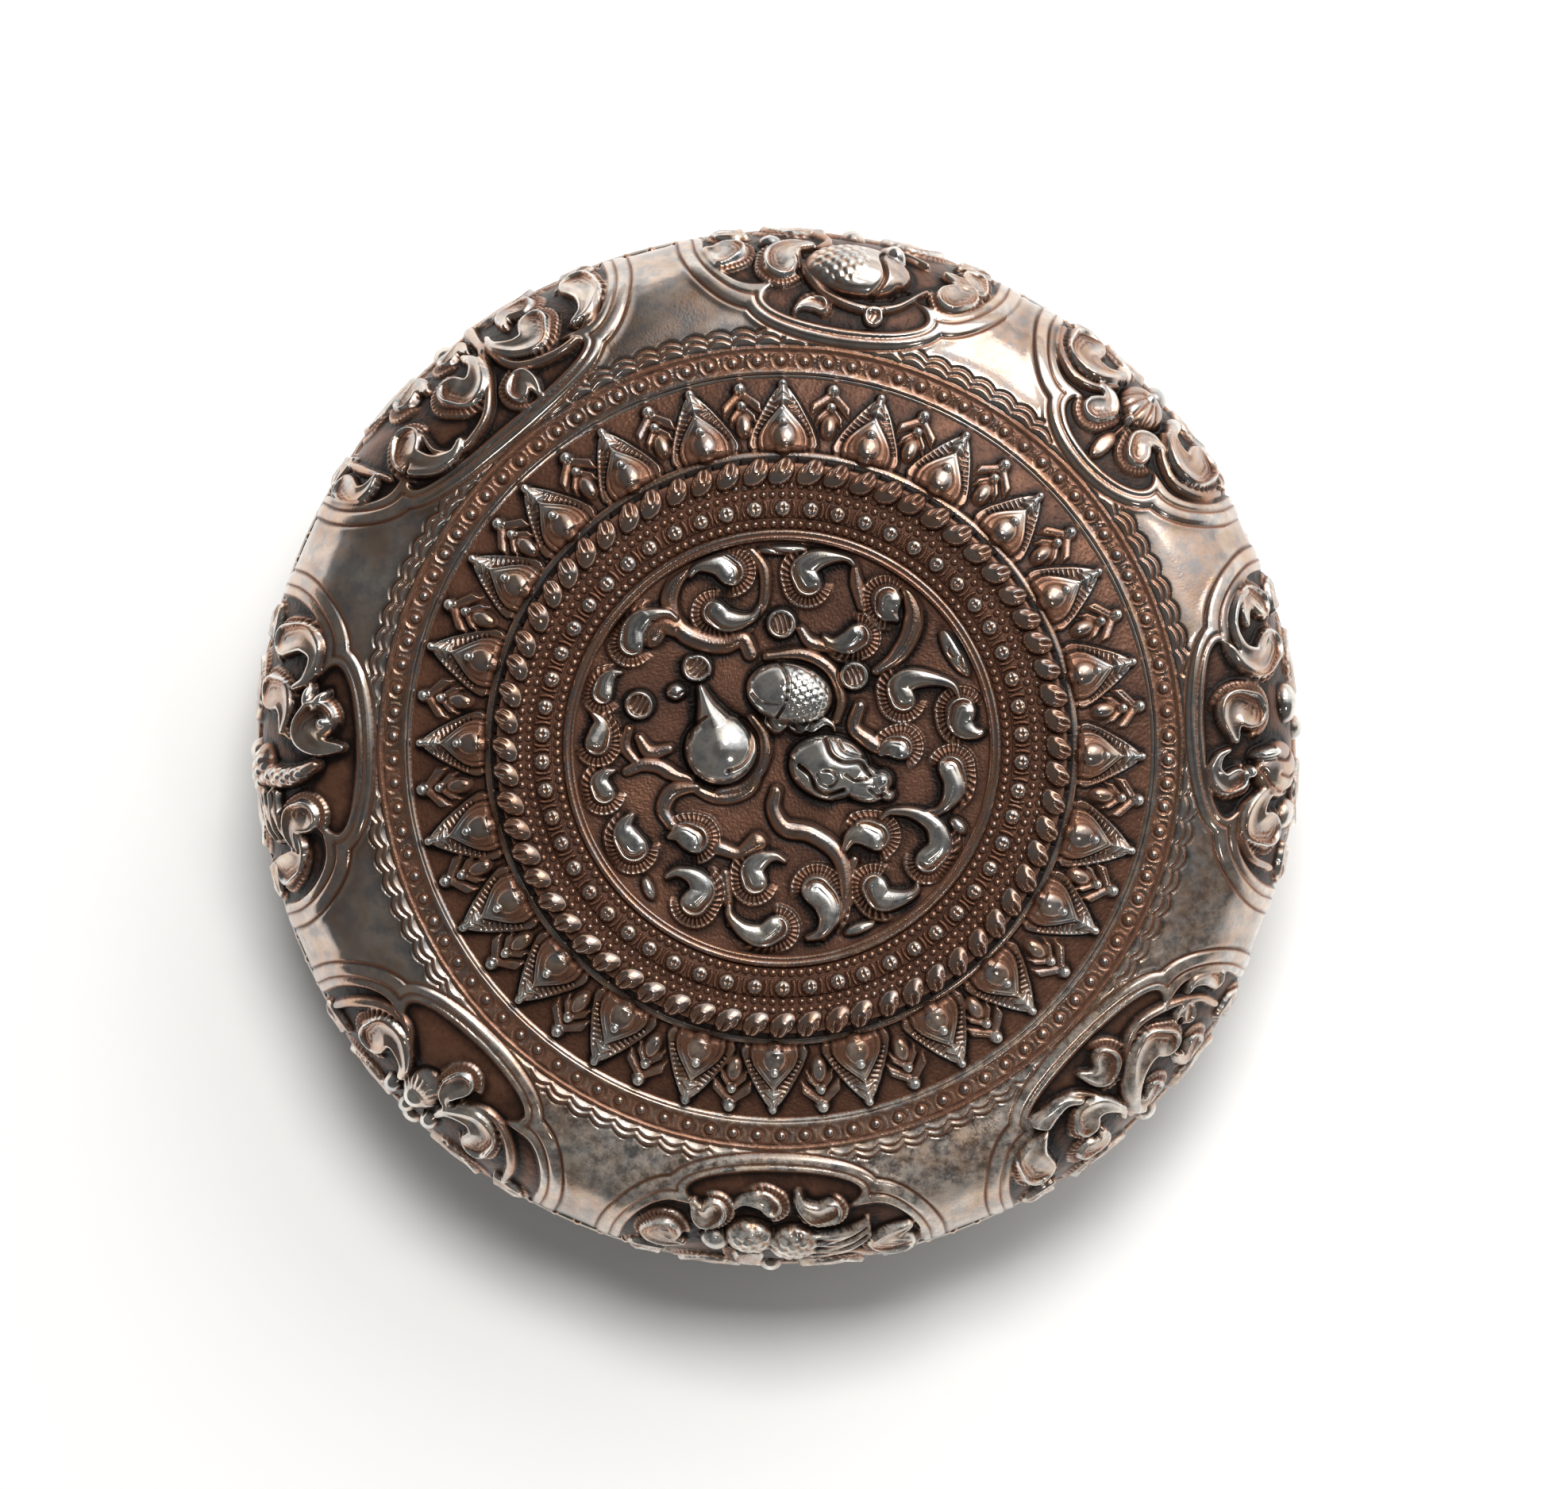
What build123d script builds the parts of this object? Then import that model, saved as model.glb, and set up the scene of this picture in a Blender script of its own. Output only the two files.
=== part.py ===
from build123d import *

import os
from math import cos, radians, sin, sqrt

# A round silver amulet box. A domed lid of worked sheet lifts straight up off a plain bowl,
# which holds a tied paper roll on a silk pad.
# Millimetres, +Z up, origin at the middle of the foot ring's underside.
# Angles round the lid are clockwise from +Y, as the ornament is read from above.

# Sheet and fits
SHEET = 1.0  # thickness of the silver sheet
FIT_GAP = 0.1  # lid wall to collar, on the radius
SOFT_GAP = 0.3  # roll to pad
ROOT = 0.4  # how far raised work is rooted in its sheet

# Widths of the lid's rings, from the middle out
FIELD_RADIUS = 23.4  # open field of the medallion
BEZEL_WIDTH = 1.3
INNER_CHANNEL = 1.3  # holds one fine wire
RIDGE_WIDTH = 2.1  # carries the middle granules
OUTER_CHANNEL = 2.0  # holds two fine wires side by side
EDGE_WIDTH = 2.1  # carries the large granules
MARGIN_WIDTH = 1.4  # plain band round the drum's foot
PETAL_WIDTH = 8.8
PEARL_WIDTH = 3.6
SHOULDER_ARC = 13.2  # radius of the shoulder's quarter round

# Heights of the lid
LID_WALL = 6.0  # upright part of the lid's wall
PETAL_STEP = 0.3  # petal band's edge below the pearl band
PETAL_RISE = 3.2  # petal band's slope, edge to margin
DRUM_RISE = 2.6  # drum's edge above the margin
CHANNEL_DEPTH = 0.7
PLATE_DROP = 1.1  # medallion's field below the drum's edge
PLATE_LEDGE = 1.8  # width of the ledge under the medallion plate
BEZEL_HEIGHT = 1.2

# Bowl
FOOT_HEIGHT = 3.0
FOOT_WIDTH = 3.0
FOOT_RADIUS = 41.0  # outside of the foot ring
BOWL_CORNER = 14.0  # radius of the bowl's quarter round
BOWL_WALL = 5.0  # upright part of the bowl's wall
COLLAR_ABOVE = 5.5  # collar above the seam
COLLAR_BELOW = 4.0  # collar below the seam, against the bowl's wall
RIM_WIRE = 0.7  # radius of the half-round wire round the bowl's mouth

# Granules: count and radius of each row
LARGE_COUNT = 64
LARGE_RADIUS = 1.0
MIDDLE_COUNT = 54
MIDDLE_RADIUS = 0.85
PEARL_COUNT = 102
PEARL_RADIUS = 0.65
PEARL_INSET = 1.5  # pearls' ring from the pearl band's inner edge
RIM_COUNT = 126
RIM_RADIUS = 0.6
RIM_LIFT = 0.7  # middle of the rim granules above the seam
FINE_WIRE = 0.45  # radius of the half-round fine wires in the outer channel
MEDALLION_WIRE = 0.6  # radius of the one in the inner channel

# Petals and the spears between them
PETAL_COUNT = 24
PETAL_TURN = 1.0  # angle of the first petal
PETAL_FROM = 0.4  # petals' foot from the margin
PETAL_FOOT_HALF = 3.0  # half width at the foot
PETAL_BELLY_HALF = 3.2  # half width at the belly
PETAL_BELLY_AT = 3.4  # belly from the margin
PETAL_TIP_AT = 8.5  # tip from the margin
PETAL_LIFT = 0.8
SPEAR_FOOT_HALF = 1.1
SPEAR_FROM = 4.4  # spears' foot from the margin
SPEAR_LENGTH = 4.0
SPEAR_LIFT = 0.6

# Cartouches: angle, half width at the rim and half width at the cusps of each one
CARTOUCHES = (
    (8.5, 20.2, 11.7),
    (47.3, 16.6, 9.0),
    (87.8, 21.2, 12.3),
    (134.7, 21.2, 12.9),
    (181.0, 20.3, 12.3),
    (225.3, 19.7, 11.5),
    (269.9, 20.6, 11.9),
    (319.7, 23.3, 15.2),
)
CARTOUCHE_BULGE = 1.4  # how far the side lobes bow out
CARTOUCHE_FOOT = 0.7  # foot above the rim granules
CARTOUCHE_SIDE = 30.0  # top of the straight sides, degrees up the shoulder's arc
CARTOUCHE_CUSP = 70.0  # cusps, degrees up the shoulder's arc
CARTOUCHE_TOP = 86.0  # top of the middle lobe, degrees up the shoulder's arc
CARTOUCHE_LIFT = 0.7
CARTOUCHE_FRAME = 2.0  # width of the raised frame
CARTOUCHE_OUT = 4.0  # how far the frame's cutter reaches past it, out and down
CARTOUCHE_IN = 14.0  # how far in it reaches

# Raised work in each cartouche: degrees round from its middle, degrees up the shoulder's arc, and radius
BOSSES = (
    ((-0.3, 48, 3.4), (5.9, 50, 2.9), (-8.4, 49, 2.2), (-14.2, 37, 2.0), (12.7, 51, 2.0)),
    ((-0.4, 39, 2.6), (-4.2, 62, 1.9), (3.2, 62, 1.9), (-9.8, 29, 2.4), (9.0, 29, 2.4)),
    ((6.3, 62, 1.7), (-2.4, 58, 2.5), (-9.4, 36, 2.2), (2.9, 35, 2.2), (11.8, 42, 2.3)),
    ((-0.7, 61, 2.0), (-7.3, 49, 2.2), (6.2, 48, 1.9), (14.0, 42, 2.2)),
    ((-2.3, 38, 2.9), (2.8, 43, 2.6), (-6.9, 59, 1.8), (0.2, 63, 1.7), (7.3, 58, 1.9), (12.7, 41, 2.1)),
    ((-1.6, 62, 1.8), (1.2, 39, 2.6), (-7.7, 38, 2.1), (9.4, 39, 2.2)),
    ((-2.6, 41, 2.0), (3.9, 62, 2.3), (-7.9, 52, 2.2), (12.7, 34, 2.1), (6.6, 28, 2.0)),
    ((-10.4, 50, 2.2), (-2.2, 49, 2.2), (10.2, 45, 2.1), (4.2, 62, 1.8), (16.8, 29, 2.1)),
)
BOSS_RISE = 1.8  # above the boss's own foot
BOSS_SINK = 0.3  # foot below the shoulder's face, which curves away under it

# Medallion relief: middle in X and Y, radius and rise of each of the animal's domes
ANIMAL_DOMES = (
    (-6.7, 0.3, 4.0, 2.6),  # haunch
    (0.8, 5.9, 4.4, 2.6),  # body
    (5.6, -1.9, 4.2, 2.4),  # head
    (11.0, -3.4, 1.4, 1.6),  # snout
)
BUD_PLACES = ((0.0, 14.0), (-9.4, 9.1), (-15.9, 4.9), (8.3, 8.2))
BUD_RADIUS = 1.5
BUD_RISE = 1.3
# Angle of each leaf, and its middle from the field's edge
LEAF_PLACES = (
    (9.1, 4.4), (34.9, 8.0), (35.1, 3.2), (67.3, 8.9), (78.9, 2.7), (90.0, 10.0),
    (97.1, 4.1), (127.4, 2.5), (132.8, 8.5), (146.3, 4.3), (165.9, 6.6), (182.8, 3.0),
    (190.4, 8.5), (209.2, 3.7), (225.6, 9.5), (235.7, 3.2), (254.7, 3.0), (271.1, 2.8),
    (286.2, 2.6), (305.9, 2.8), (335.2, 7.0), (344.6, 2.7),
)
LEAF_RADIUS = 1.9
LEAF_RISE = 1.2

# Contents
PAD_RADIUS = 42.0
PAD_SEAM = 2.2  # height of the seam round the pad's edge
PAD_CROWN = 5.0  # thickness in the middle
PAD_TUCK = 3.0  # how far the underside is drawn in from the edge
ROLL_RADIUS = 7.5
ROLL_BORE = 1.6
ROLL_LENGTH = 66.0
TIE_WIDTH = 4.0
TIE_THICK = 0.5
TIE_SPACING = 30.0

# Radii that follow
PLATE_RADIUS = FIELD_RADIUS + BEZEL_WIDTH
RIDGE_IN = PLATE_RADIUS + INNER_CHANNEL
RIDGE_OUT = RIDGE_IN + RIDGE_WIDTH
EDGE_IN = RIDGE_OUT + OUTER_CHANNEL
DRUM_RADIUS = EDGE_IN + EDGE_WIDTH
PETAL_IN = DRUM_RADIUS + MARGIN_WIDTH
PETAL_OUT = PETAL_IN + PETAL_WIDTH
CREST_RADIUS = PETAL_OUT + PEARL_WIDTH
LID_RADIUS = CREST_RADIUS + SHOULDER_ARC
COLLAR_RADIUS = LID_RADIUS - SHEET - FIT_GAP
BOWL_RADIUS = COLLAR_RADIUS + SHEET

# Heights that follow
BOWL_SPRING = FOOT_HEIGHT + BOWL_CORNER
SEAM = BOWL_SPRING + BOWL_WALL
SHOULDER_SPRING = SEAM + LID_WALL
CREST = SHOULDER_SPRING + SHOULDER_ARC
PETAL_EDGE = CREST - PETAL_STEP
MARGIN = PETAL_EDGE + PETAL_RISE
STAGE = MARGIN + DRUM_RISE
CHANNEL = STAGE - CHANNEL_DEPTH
FIELD = STAGE - PLATE_DROP
LEDGE = FIELD - SHEET
FLOOR = FOOT_HEIGHT + SHEET


def turned(outline):
    """Solid of revolution about Z from a closed outline of radius and height."""
    return revolve(Plane.XZ * make_face(outline), Axis.Z)


def quarter(middle_radius, middle_height, radius, low):
    """Quarter-round arc in radius and height, from the side (low or high) to the flat."""
    sign = -1 if low else 1
    side = (middle_radius + radius, middle_height)
    flat = (middle_radius, middle_height + sign * radius)
    lean = radius * sin(radians(45))
    on_way = (middle_radius + lean, middle_height + sign * lean)
    return ThreePointArc(side, on_way, flat)


def shoulder_outline(out, inner_out, foot):
    """Outline of the shoulder's sheet between two offsets from its outer face, foot to pearl band."""
    outer = LID_RADIUS + out
    inner = LID_RADIUS + inner_out
    lines = Polyline((inner, foot), (outer, foot), (outer, SHOULDER_SPRING))
    lines += quarter(CREST_RADIUS, SHOULDER_SPRING, SHOULDER_ARC + out, low=False)
    lines += Polyline(
        (CREST_RADIUS, CREST + out),
        (PETAL_OUT, CREST + out),
        (PETAL_OUT, CREST + inner_out),
        (CREST_RADIUS, CREST + inner_out),
    )
    lines += quarter(CREST_RADIUS, SHOULDER_SPRING, SHOULDER_ARC + inner_out, low=False)
    lines += Line((inner, SHOULDER_SPRING), (inner, foot))
    return lines


def cartouche_plane():
    """Plane on the shoulder's outer face half way up its arc, on the +Y side, facing out."""
    lean = sin(radians(45))
    middle = (0, CREST_RADIUS + SHOULDER_ARC * lean, SHOULDER_SPRING + SHOULDER_ARC * lean)
    return Plane(origin=middle, x_dir=(-1, 0, 0), z_dir=(0, 1, 1))


def up_slope(radius, height):
    """How far up the cartouche plane a point of the shoulder's profile lies."""
    lean = sin(radians(45))
    rise = height - SHOULDER_SPRING - SHOULDER_ARC * lean
    inward = CREST_RADIUS + SHOULDER_ARC * lean - radius
    return (rise + inward) * lean


def up_arc(degrees):
    """The same for a point some degrees up the shoulder's arc."""
    angle = radians(degrees)
    return up_slope(CREST_RADIUS + SHOULDER_ARC * cos(angle), SHOULDER_SPRING + SHOULDER_ARC * sin(angle))


def cartouche_face(half, cusp_half, inset):
    """Lobed face of a cartouche on its plane, drawn in by an inset all round but at the foot."""
    slant = inset * sin(radians(45))
    side = up_arc(CARTOUCHE_SIDE)
    cusp = up_arc(CARTOUCHE_CUSP)
    foot = up_slope(LID_RADIUS, SEAM) - CARTOUCHE_OUT
    lobe_out = (half + cusp_half) / 2 + CARTOUCHE_BULGE - slant
    lobe_up = (side + cusp) / 2 + CARTOUCHE_BULGE - slant
    side_out = half - inset
    cusp_out = cusp_half - inset / 2
    cusp_up = cusp - inset
    top = up_arc(CARTOUCHE_TOP) - inset
    outline = Polyline((-side_out, side), (-side_out, foot), (side_out, foot), (side_out, side))
    outline += ThreePointArc((side_out, side), (lobe_out, lobe_up), (cusp_out, cusp_up))
    outline += ThreePointArc((cusp_out, cusp_up), (0, top), (-cusp_out, cusp_up))
    outline += ThreePointArc((-cusp_out, cusp_up), (-lobe_out, lobe_up), (-side_out, side))
    return cartouche_plane() * make_face(outline)


def cartouche(half, cusp_half):
    """One raised lobed frame on the +Y side, following the shoulder's curve, open at its foot."""
    frame = cartouche_face(half, cusp_half, 0)
    opening = cartouche_face(half, cusp_half, CARTOUCHE_FRAME)
    cutter = extrude(frame, CARTOUCHE_OUT) + extrude(frame, -CARTOUCHE_IN)
    cutter -= extrude(opening, CARTOUCHE_OUT) + extrude(opening, -CARTOUCHE_IN)
    level_foot = SEAM + RIM_LIFT + RIM_RADIUS + CARTOUCHE_FOOT
    return turned(shoulder_outline(CARTOUCHE_LIFT, -ROOT, level_foot)) & cutter


def boss(turn, climb, radius):
    """Round boss standing square on the shoulder's face, some degrees round the lid and up the arc."""
    angle = radians(climb)
    out = cos(angle)
    up = sin(angle)
    foot = SHOULDER_ARC - BOSS_SINK
    middle = (0, CREST_RADIUS + foot * out, SHOULDER_SPRING + foot * up)
    face = Plane(origin=middle, x_dir=(1, 0, 0), z_dir=(0, out, up))
    return Rot(0, 0, -turn) * (face * dome(radius, BOSS_RISE))


def lid_shoulder():
    """Domed sheet from the rim up to the pearl band, with its framed cartouches and their raised work."""
    work = []
    for (angle, half, cusp_half), bosses in zip(CARTOUCHES, BOSSES):
        work.append(Rot(0, 0, -angle) * cartouche(half, cusp_half))
        work += [boss(angle + turn, climb, radius) for turn, climb, radius in bosses]
    return turned(shoulder_outline(0, -SHEET, SEAM)) + work


def petal_plane():
    """Plane on the petal band's slope at its margin, on the +Y side, facing up and out."""
    return Plane(
        origin=(0, PETAL_IN, MARGIN),
        x_dir=(-1, 0, 0),
        z_dir=(0, PETAL_RISE, PETAL_WIDTH),
    )


def raised(outline, lift):
    """A flat shape drawn on the petal plane, raised off the band and rooted in it."""
    # Y of the petal plane runs in, so the shapes are drawn to minus Y.
    face = petal_plane() * make_face(outline)
    return extrude(face, lift) + extrude(face, -2 * ROOT)


def petal_band():
    """Sloping collar set from below against the shoulder, with its petals and spears."""
    collar = turned(
        Polyline(
            (DRUM_RADIUS, MARGIN),
            (PETAL_IN, MARGIN),
            (PETAL_OUT, PETAL_EDGE),
            (PETAL_OUT, CREST - SHEET),
            (CREST_RADIUS, CREST - SHEET),
            (CREST_RADIUS, CREST - 2 * SHEET),
            (PETAL_OUT, CREST - 2 * SHEET),
            (PETAL_IN, MARGIN - SHEET),
            (DRUM_RADIUS, MARGIN - SHEET),
            close=True,
        )
    )
    tip = (0, -PETAL_TIP_AT)
    foot = (PETAL_FOOT_HALF, -PETAL_FROM)
    other_foot = (-PETAL_FOOT_HALF, -PETAL_FROM)
    petal_lines = Line(other_foot, foot)
    petal_lines += ThreePointArc(foot, (PETAL_BELLY_HALF, -PETAL_BELLY_AT), tip)
    petal_lines += ThreePointArc(tip, (-PETAL_BELLY_HALF, -PETAL_BELLY_AT), other_foot)
    petal = raised(petal_lines, PETAL_LIFT)
    spear_lines = Polyline(
        (-SPEAR_FOOT_HALF, -SPEAR_FROM),
        (SPEAR_FOOT_HALF, -SPEAR_FROM),
        (0, -SPEAR_FROM - SPEAR_LENGTH),
        close=True,
    )
    spear = raised(spear_lines, SPEAR_LIFT)
    pitch = 360 / PETAL_COUNT
    work = [Rot(0, 0, -PETAL_TURN - pitch * n) * petal for n in range(PETAL_COUNT)]
    work += [Rot(0, 0, -PETAL_TURN - pitch * (n + 0.5)) * spear for n in range(PETAL_COUNT)]
    return collar + work


def stage_drum():
    """Raised stepped ring, set from below against the petal band's margin."""
    under_seat = LEDGE - SHEET
    under_top = CHANNEL - SHEET
    return turned(
        Polyline(
            (PETAL_IN, MARGIN - 2 * SHEET),
            (PETAL_IN, MARGIN - SHEET),
            (DRUM_RADIUS, MARGIN - SHEET),
            (DRUM_RADIUS, STAGE),
            (EDGE_IN, STAGE),
            (EDGE_IN, CHANNEL),
            (RIDGE_OUT, CHANNEL),
            (RIDGE_OUT, STAGE),
            (RIDGE_IN, STAGE),
            (RIDGE_IN, CHANNEL),
            (PLATE_RADIUS, CHANNEL),
            (PLATE_RADIUS, LEDGE),
            (PLATE_RADIUS - PLATE_LEDGE, LEDGE),
            (PLATE_RADIUS - PLATE_LEDGE, under_seat),
            (PLATE_RADIUS + SHEET, under_seat),
            (PLATE_RADIUS + SHEET, under_top),
            (DRUM_RADIUS - SHEET, under_top),
            (DRUM_RADIUS - SHEET, MARGIN - 2 * SHEET),
            close=True,
        )
    )


def cap_arc(radius, rise, height):
    """Arc of a round cap in radius and height, from its rim at the given height to its top."""
    cap_radius = (radius**2 + rise**2) / (2 * rise)
    half = radius / 2
    half_rise = rise - cap_radius + sqrt(cap_radius**2 - half**2)
    return ThreePointArc((radius, height), (half, height + half_rise), (0, height + rise))


def dome(radius, rise):
    """Round cap that springs from height 0 and is rooted a little below it."""
    return turned(Polyline((0, rise), (0, -ROOT), (radius, -ROOT), (radius, 0)) + cap_arc(radius, rise, 0))


def medallion_plate():
    """Worked disc: the curled animal, its buds and the leaf scrolls as domes on the plate."""
    plate = Pos(0, 0, LEDGE + SHEET / 2) * Cylinder(PLATE_RADIUS, SHEET)
    domes = [Pos(x, y, FIELD) * dome(radius, rise) for x, y, radius, rise in ANIMAL_DOMES]
    bud = dome(BUD_RADIUS, BUD_RISE)
    domes += [Pos(x, y, FIELD) * bud for x, y in BUD_PLACES]
    leaf = dome(LEAF_RADIUS, LEAF_RISE)
    domes += [Rot(0, 0, -angle) * Pos(0, FIELD_RADIUS - inset, FIELD) * leaf for angle, inset in LEAF_PLACES]
    return plate + domes


def medallion_bezel():
    """Moulding that holds the plate's edge down."""
    return turned(
        Polyline(
            (FIELD_RADIUS, FIELD),
            (PLATE_RADIUS, FIELD),
            (PLATE_RADIUS, FIELD + BEZEL_HEIGHT),
            (FIELD_RADIUS, FIELD + BEZEL_HEIGHT),
            close=True,
        )
    )


def granule_row(count, radius, ring_radius, height):
    """Row of half-round granules, each flat side down on a level seat."""
    half = Sphere(radius) & Box(2 * radius, 2 * radius, radius, align=(Align.CENTER, Align.CENTER, Align.MIN))
    granule = Pos(0, ring_radius, height) * half
    return Compound(children=[Rot(0, 0, -360 / count * n) * granule for n in range(count)])


def rim_granules():
    """Row of granules round the foot of the lid's wall, each one hollowed to the wall."""
    ball = Pos(0, LID_RADIUS, SEAM + RIM_LIFT) * Sphere(RIM_RADIUS)
    wall = Pos(0, 0, SEAM) * Cylinder(LID_RADIUS, LID_WALL)
    granule = ball - wall
    return Compound(children=[Rot(0, 0, -360 / RIM_COUNT * n) * granule for n in range(RIM_COUNT)])


def fine_wire(radius, wire):
    """Half-round fine wire, flat side down on a channel's floor."""
    left = (radius - wire, CHANNEL)
    right = (radius + wire, CHANNEL)
    return turned(Line(left, right) + ThreePointArc(right, (radius, CHANNEL + wire), left))


def base_bowl():
    """Raised bowl with a flat floor."""
    inner = BOWL_RADIUS - SHEET
    floor_edge = BOWL_RADIUS - BOWL_CORNER
    lines = Polyline((0, FLOOR), (0, FOOT_HEIGHT), (floor_edge, FOOT_HEIGHT))
    lines += quarter(floor_edge, BOWL_SPRING, BOWL_CORNER, low=True)
    lines += Polyline((BOWL_RADIUS, BOWL_SPRING), (BOWL_RADIUS, SEAM), (inner, SEAM), (inner, BOWL_SPRING))
    lines += quarter(floor_edge, BOWL_SPRING, BOWL_CORNER - SHEET, low=True)
    lines += Line((floor_edge, FLOOR), (0, FLOOR))
    return turned(lines)


def base_collar():
    """Upright band inside the bowl's mouth that the lid's wall slides over."""
    low = SEAM - COLLAR_BELOW
    high = SEAM + COLLAR_ABOVE
    inner = COLLAR_RADIUS - SHEET
    return turned(
        Polyline((inner, low), (COLLAR_RADIUS, low), (COLLAR_RADIUS, high), (inner, high), close=True)
    )


def base_rim_wire():
    """Half-round wire that stiffens the bowl's mouth, flat side on the wall."""
    low = (BOWL_RADIUS, SEAM - 2 * RIM_WIRE)
    high = (BOWL_RADIUS, SEAM)
    return turned(Line(low, high) + ThreePointArc(high, (BOWL_RADIUS + RIM_WIRE, SEAM - RIM_WIRE), low))


def foot_ring():
    """Ring that the bowl stands on."""
    inner = FOOT_RADIUS - FOOT_WIDTH
    return turned(
        Polyline((inner, 0), (FOOT_RADIUS, 0), (FOOT_RADIUS, FOOT_HEIGHT), (inner, FOOT_HEIGHT), close=True)
    )


def lining_pad():
    """Silk pad with a crown and a drawn-in underside, flat where it lies on the bowl's floor."""
    seam = FLOOR + PAD_SEAM
    sides = Polyline((0, FLOOR + PAD_CROWN), (0, FLOOR), (PAD_RADIUS - PAD_TUCK, FLOOR), (PAD_RADIUS, seam))
    return turned(sides + cap_arc(PAD_RADIUS, PAD_CROWN - PAD_SEAM, seam))


def roll_axis():
    """Height of the roll's axis, its ties just clear of the pad's crown."""
    return FLOOR + PAD_CROWN + SOFT_GAP + TIE_THICK + ROLL_RADIUS


def tube(outer, inner, length):
    """Tube along X about the roll's axis."""
    solid = Cylinder(outer, length) - Cylinder(inner, length)
    return Pos(0, 0, roll_axis()) * Rot(0, 90, 0) * solid


def prayer_roll():
    """Paper roll lying across the pad."""
    return tube(ROLL_RADIUS, ROLL_BORE, ROLL_LENGTH)


def roll_ties():
    """Two silk tapes round the roll."""
    tie = tube(ROLL_RADIUS + TIE_THICK, ROLL_RADIUS, TIE_WIDTH)
    return Compound(children=[Pos(side * TIE_SPACING / 2, 0, 0) * tie for side in (-1, 1)])


PARTS = {
    "lid_shoulder": lid_shoulder(),
    "rim_granules": rim_granules(),
    "pearl_granules": granule_row(PEARL_COUNT, PEARL_RADIUS, PETAL_OUT + PEARL_INSET, CREST),
    "petal_band": petal_band(),
    "stage_drum": stage_drum(),
    "large_granules": granule_row(LARGE_COUNT, LARGE_RADIUS, EDGE_IN + EDGE_WIDTH / 2, STAGE),
    "outer_fine_wire": fine_wire(EDGE_IN - OUTER_CHANNEL / 4, FINE_WIRE),
    "inner_fine_wire": fine_wire(RIDGE_OUT + OUTER_CHANNEL / 4, FINE_WIRE),
    "middle_granules": granule_row(MIDDLE_COUNT, MIDDLE_RADIUS, RIDGE_IN + RIDGE_WIDTH / 2, STAGE),
    "medallion_fine_wire": fine_wire(PLATE_RADIUS + INNER_CHANNEL / 2, MEDALLION_WIRE),
    "medallion_bezel": medallion_bezel(),
    "medallion_plate": medallion_plate(),
    "base_bowl": base_bowl(),
    "base_collar": base_collar(),
    "base_rim_wire": base_rim_wire(),
    "foot_ring": foot_ring(),
    "lining_pad": lining_pad(),
    "prayer_roll": prayer_roll(),
    "roll_ties": roll_ties(),
}

os.makedirs("parts", exist_ok=True)
for node, solid in PARTS.items():
    export_step(solid, f"parts/{node}.step")
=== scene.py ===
import math

import bpy
import numpy as np
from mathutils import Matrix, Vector


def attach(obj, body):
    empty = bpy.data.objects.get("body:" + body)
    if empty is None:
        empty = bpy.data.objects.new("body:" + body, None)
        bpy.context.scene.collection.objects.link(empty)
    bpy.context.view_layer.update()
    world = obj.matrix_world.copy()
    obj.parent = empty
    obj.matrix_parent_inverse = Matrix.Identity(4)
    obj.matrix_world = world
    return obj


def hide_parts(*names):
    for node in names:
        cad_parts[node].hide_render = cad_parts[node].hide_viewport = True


# A round amulet box of worked silver, lid up, seen from straight above.
# Relief is worked out in millimetres on fine grids that follow the CAD profile, then scaled to metres.
# Angles round the lid are clockwise from +Y. A shoulder place is (along, up): millimetres along the
# circle of radius REF_R from a cartouche's middle, and millimetres up the sheet from the rim.

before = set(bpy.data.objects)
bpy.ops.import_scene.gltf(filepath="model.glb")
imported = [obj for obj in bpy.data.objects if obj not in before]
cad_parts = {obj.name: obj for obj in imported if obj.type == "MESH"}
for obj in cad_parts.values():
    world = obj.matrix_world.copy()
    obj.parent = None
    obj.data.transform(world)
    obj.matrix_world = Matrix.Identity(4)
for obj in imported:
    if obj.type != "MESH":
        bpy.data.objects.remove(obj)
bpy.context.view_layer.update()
MM = 0.001
rng = np.random.default_rng(11)

# Sizes shared with the CAD model
SHEET = 1.0
SEAM = 22.0
SPRING = 28.0
ARC = 13.2
CREST_R = 46.0
CREST = SPRING + ARC
LID_R = CREST_R + ARC
PETAL_OUT = 42.4
PETAL_EDGE = 40.9
PETAL_IN = 33.6
MARGIN = 44.1
DRUM_R = 32.2
STAGE = 46.7
EDGE_IN = 30.1
RIDGE_OUT = 28.1
RIDGE_IN = 26.0
CHANNEL = 46.0
PLATE_R = 24.7
FIELD_R = 23.4
FIELD = 45.6
BOWL_R = 59.1
BOWL_CORNER = 14.0
BOWL_FOOT = 3.0
FOOT_R = 41.0
FOOT_W = 3.0
COLLAR_R = 58.1
COLLAR_LOW = 18.0
COLLAR_HIGH = 27.5
ROLL_Z = 17.3
ROLL_R = 7.5
ROLL_BORE = 1.6
ROLL_HALF = 33.0
TIE_X = 15.0
TIE_HALF = 2.0
TIE_THICK = 0.5
PAD_R = 42.0
PAD_CROWN = 5.0
PAD_SEAM = 2.2
PAD_TUCK = 3.0
FLOOR = BOWL_FOOT + SHEET

REF_R = 54.0
WALL = SPRING - SEAM
SHOULDER_TOP = WALL + ARC * math.pi / 2
SHOULDER_END = SHOULDER_TOP + CREST_R - PETAL_OUT


# Small tools for height fields
def ramp(low, high, value):
    t = np.clip((value - low) / (high - low), 0, 1)
    return t * t * (3 - 2 * t)


def ridge(distance, width):
    return np.exp(-((distance / width) ** 2))


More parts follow.
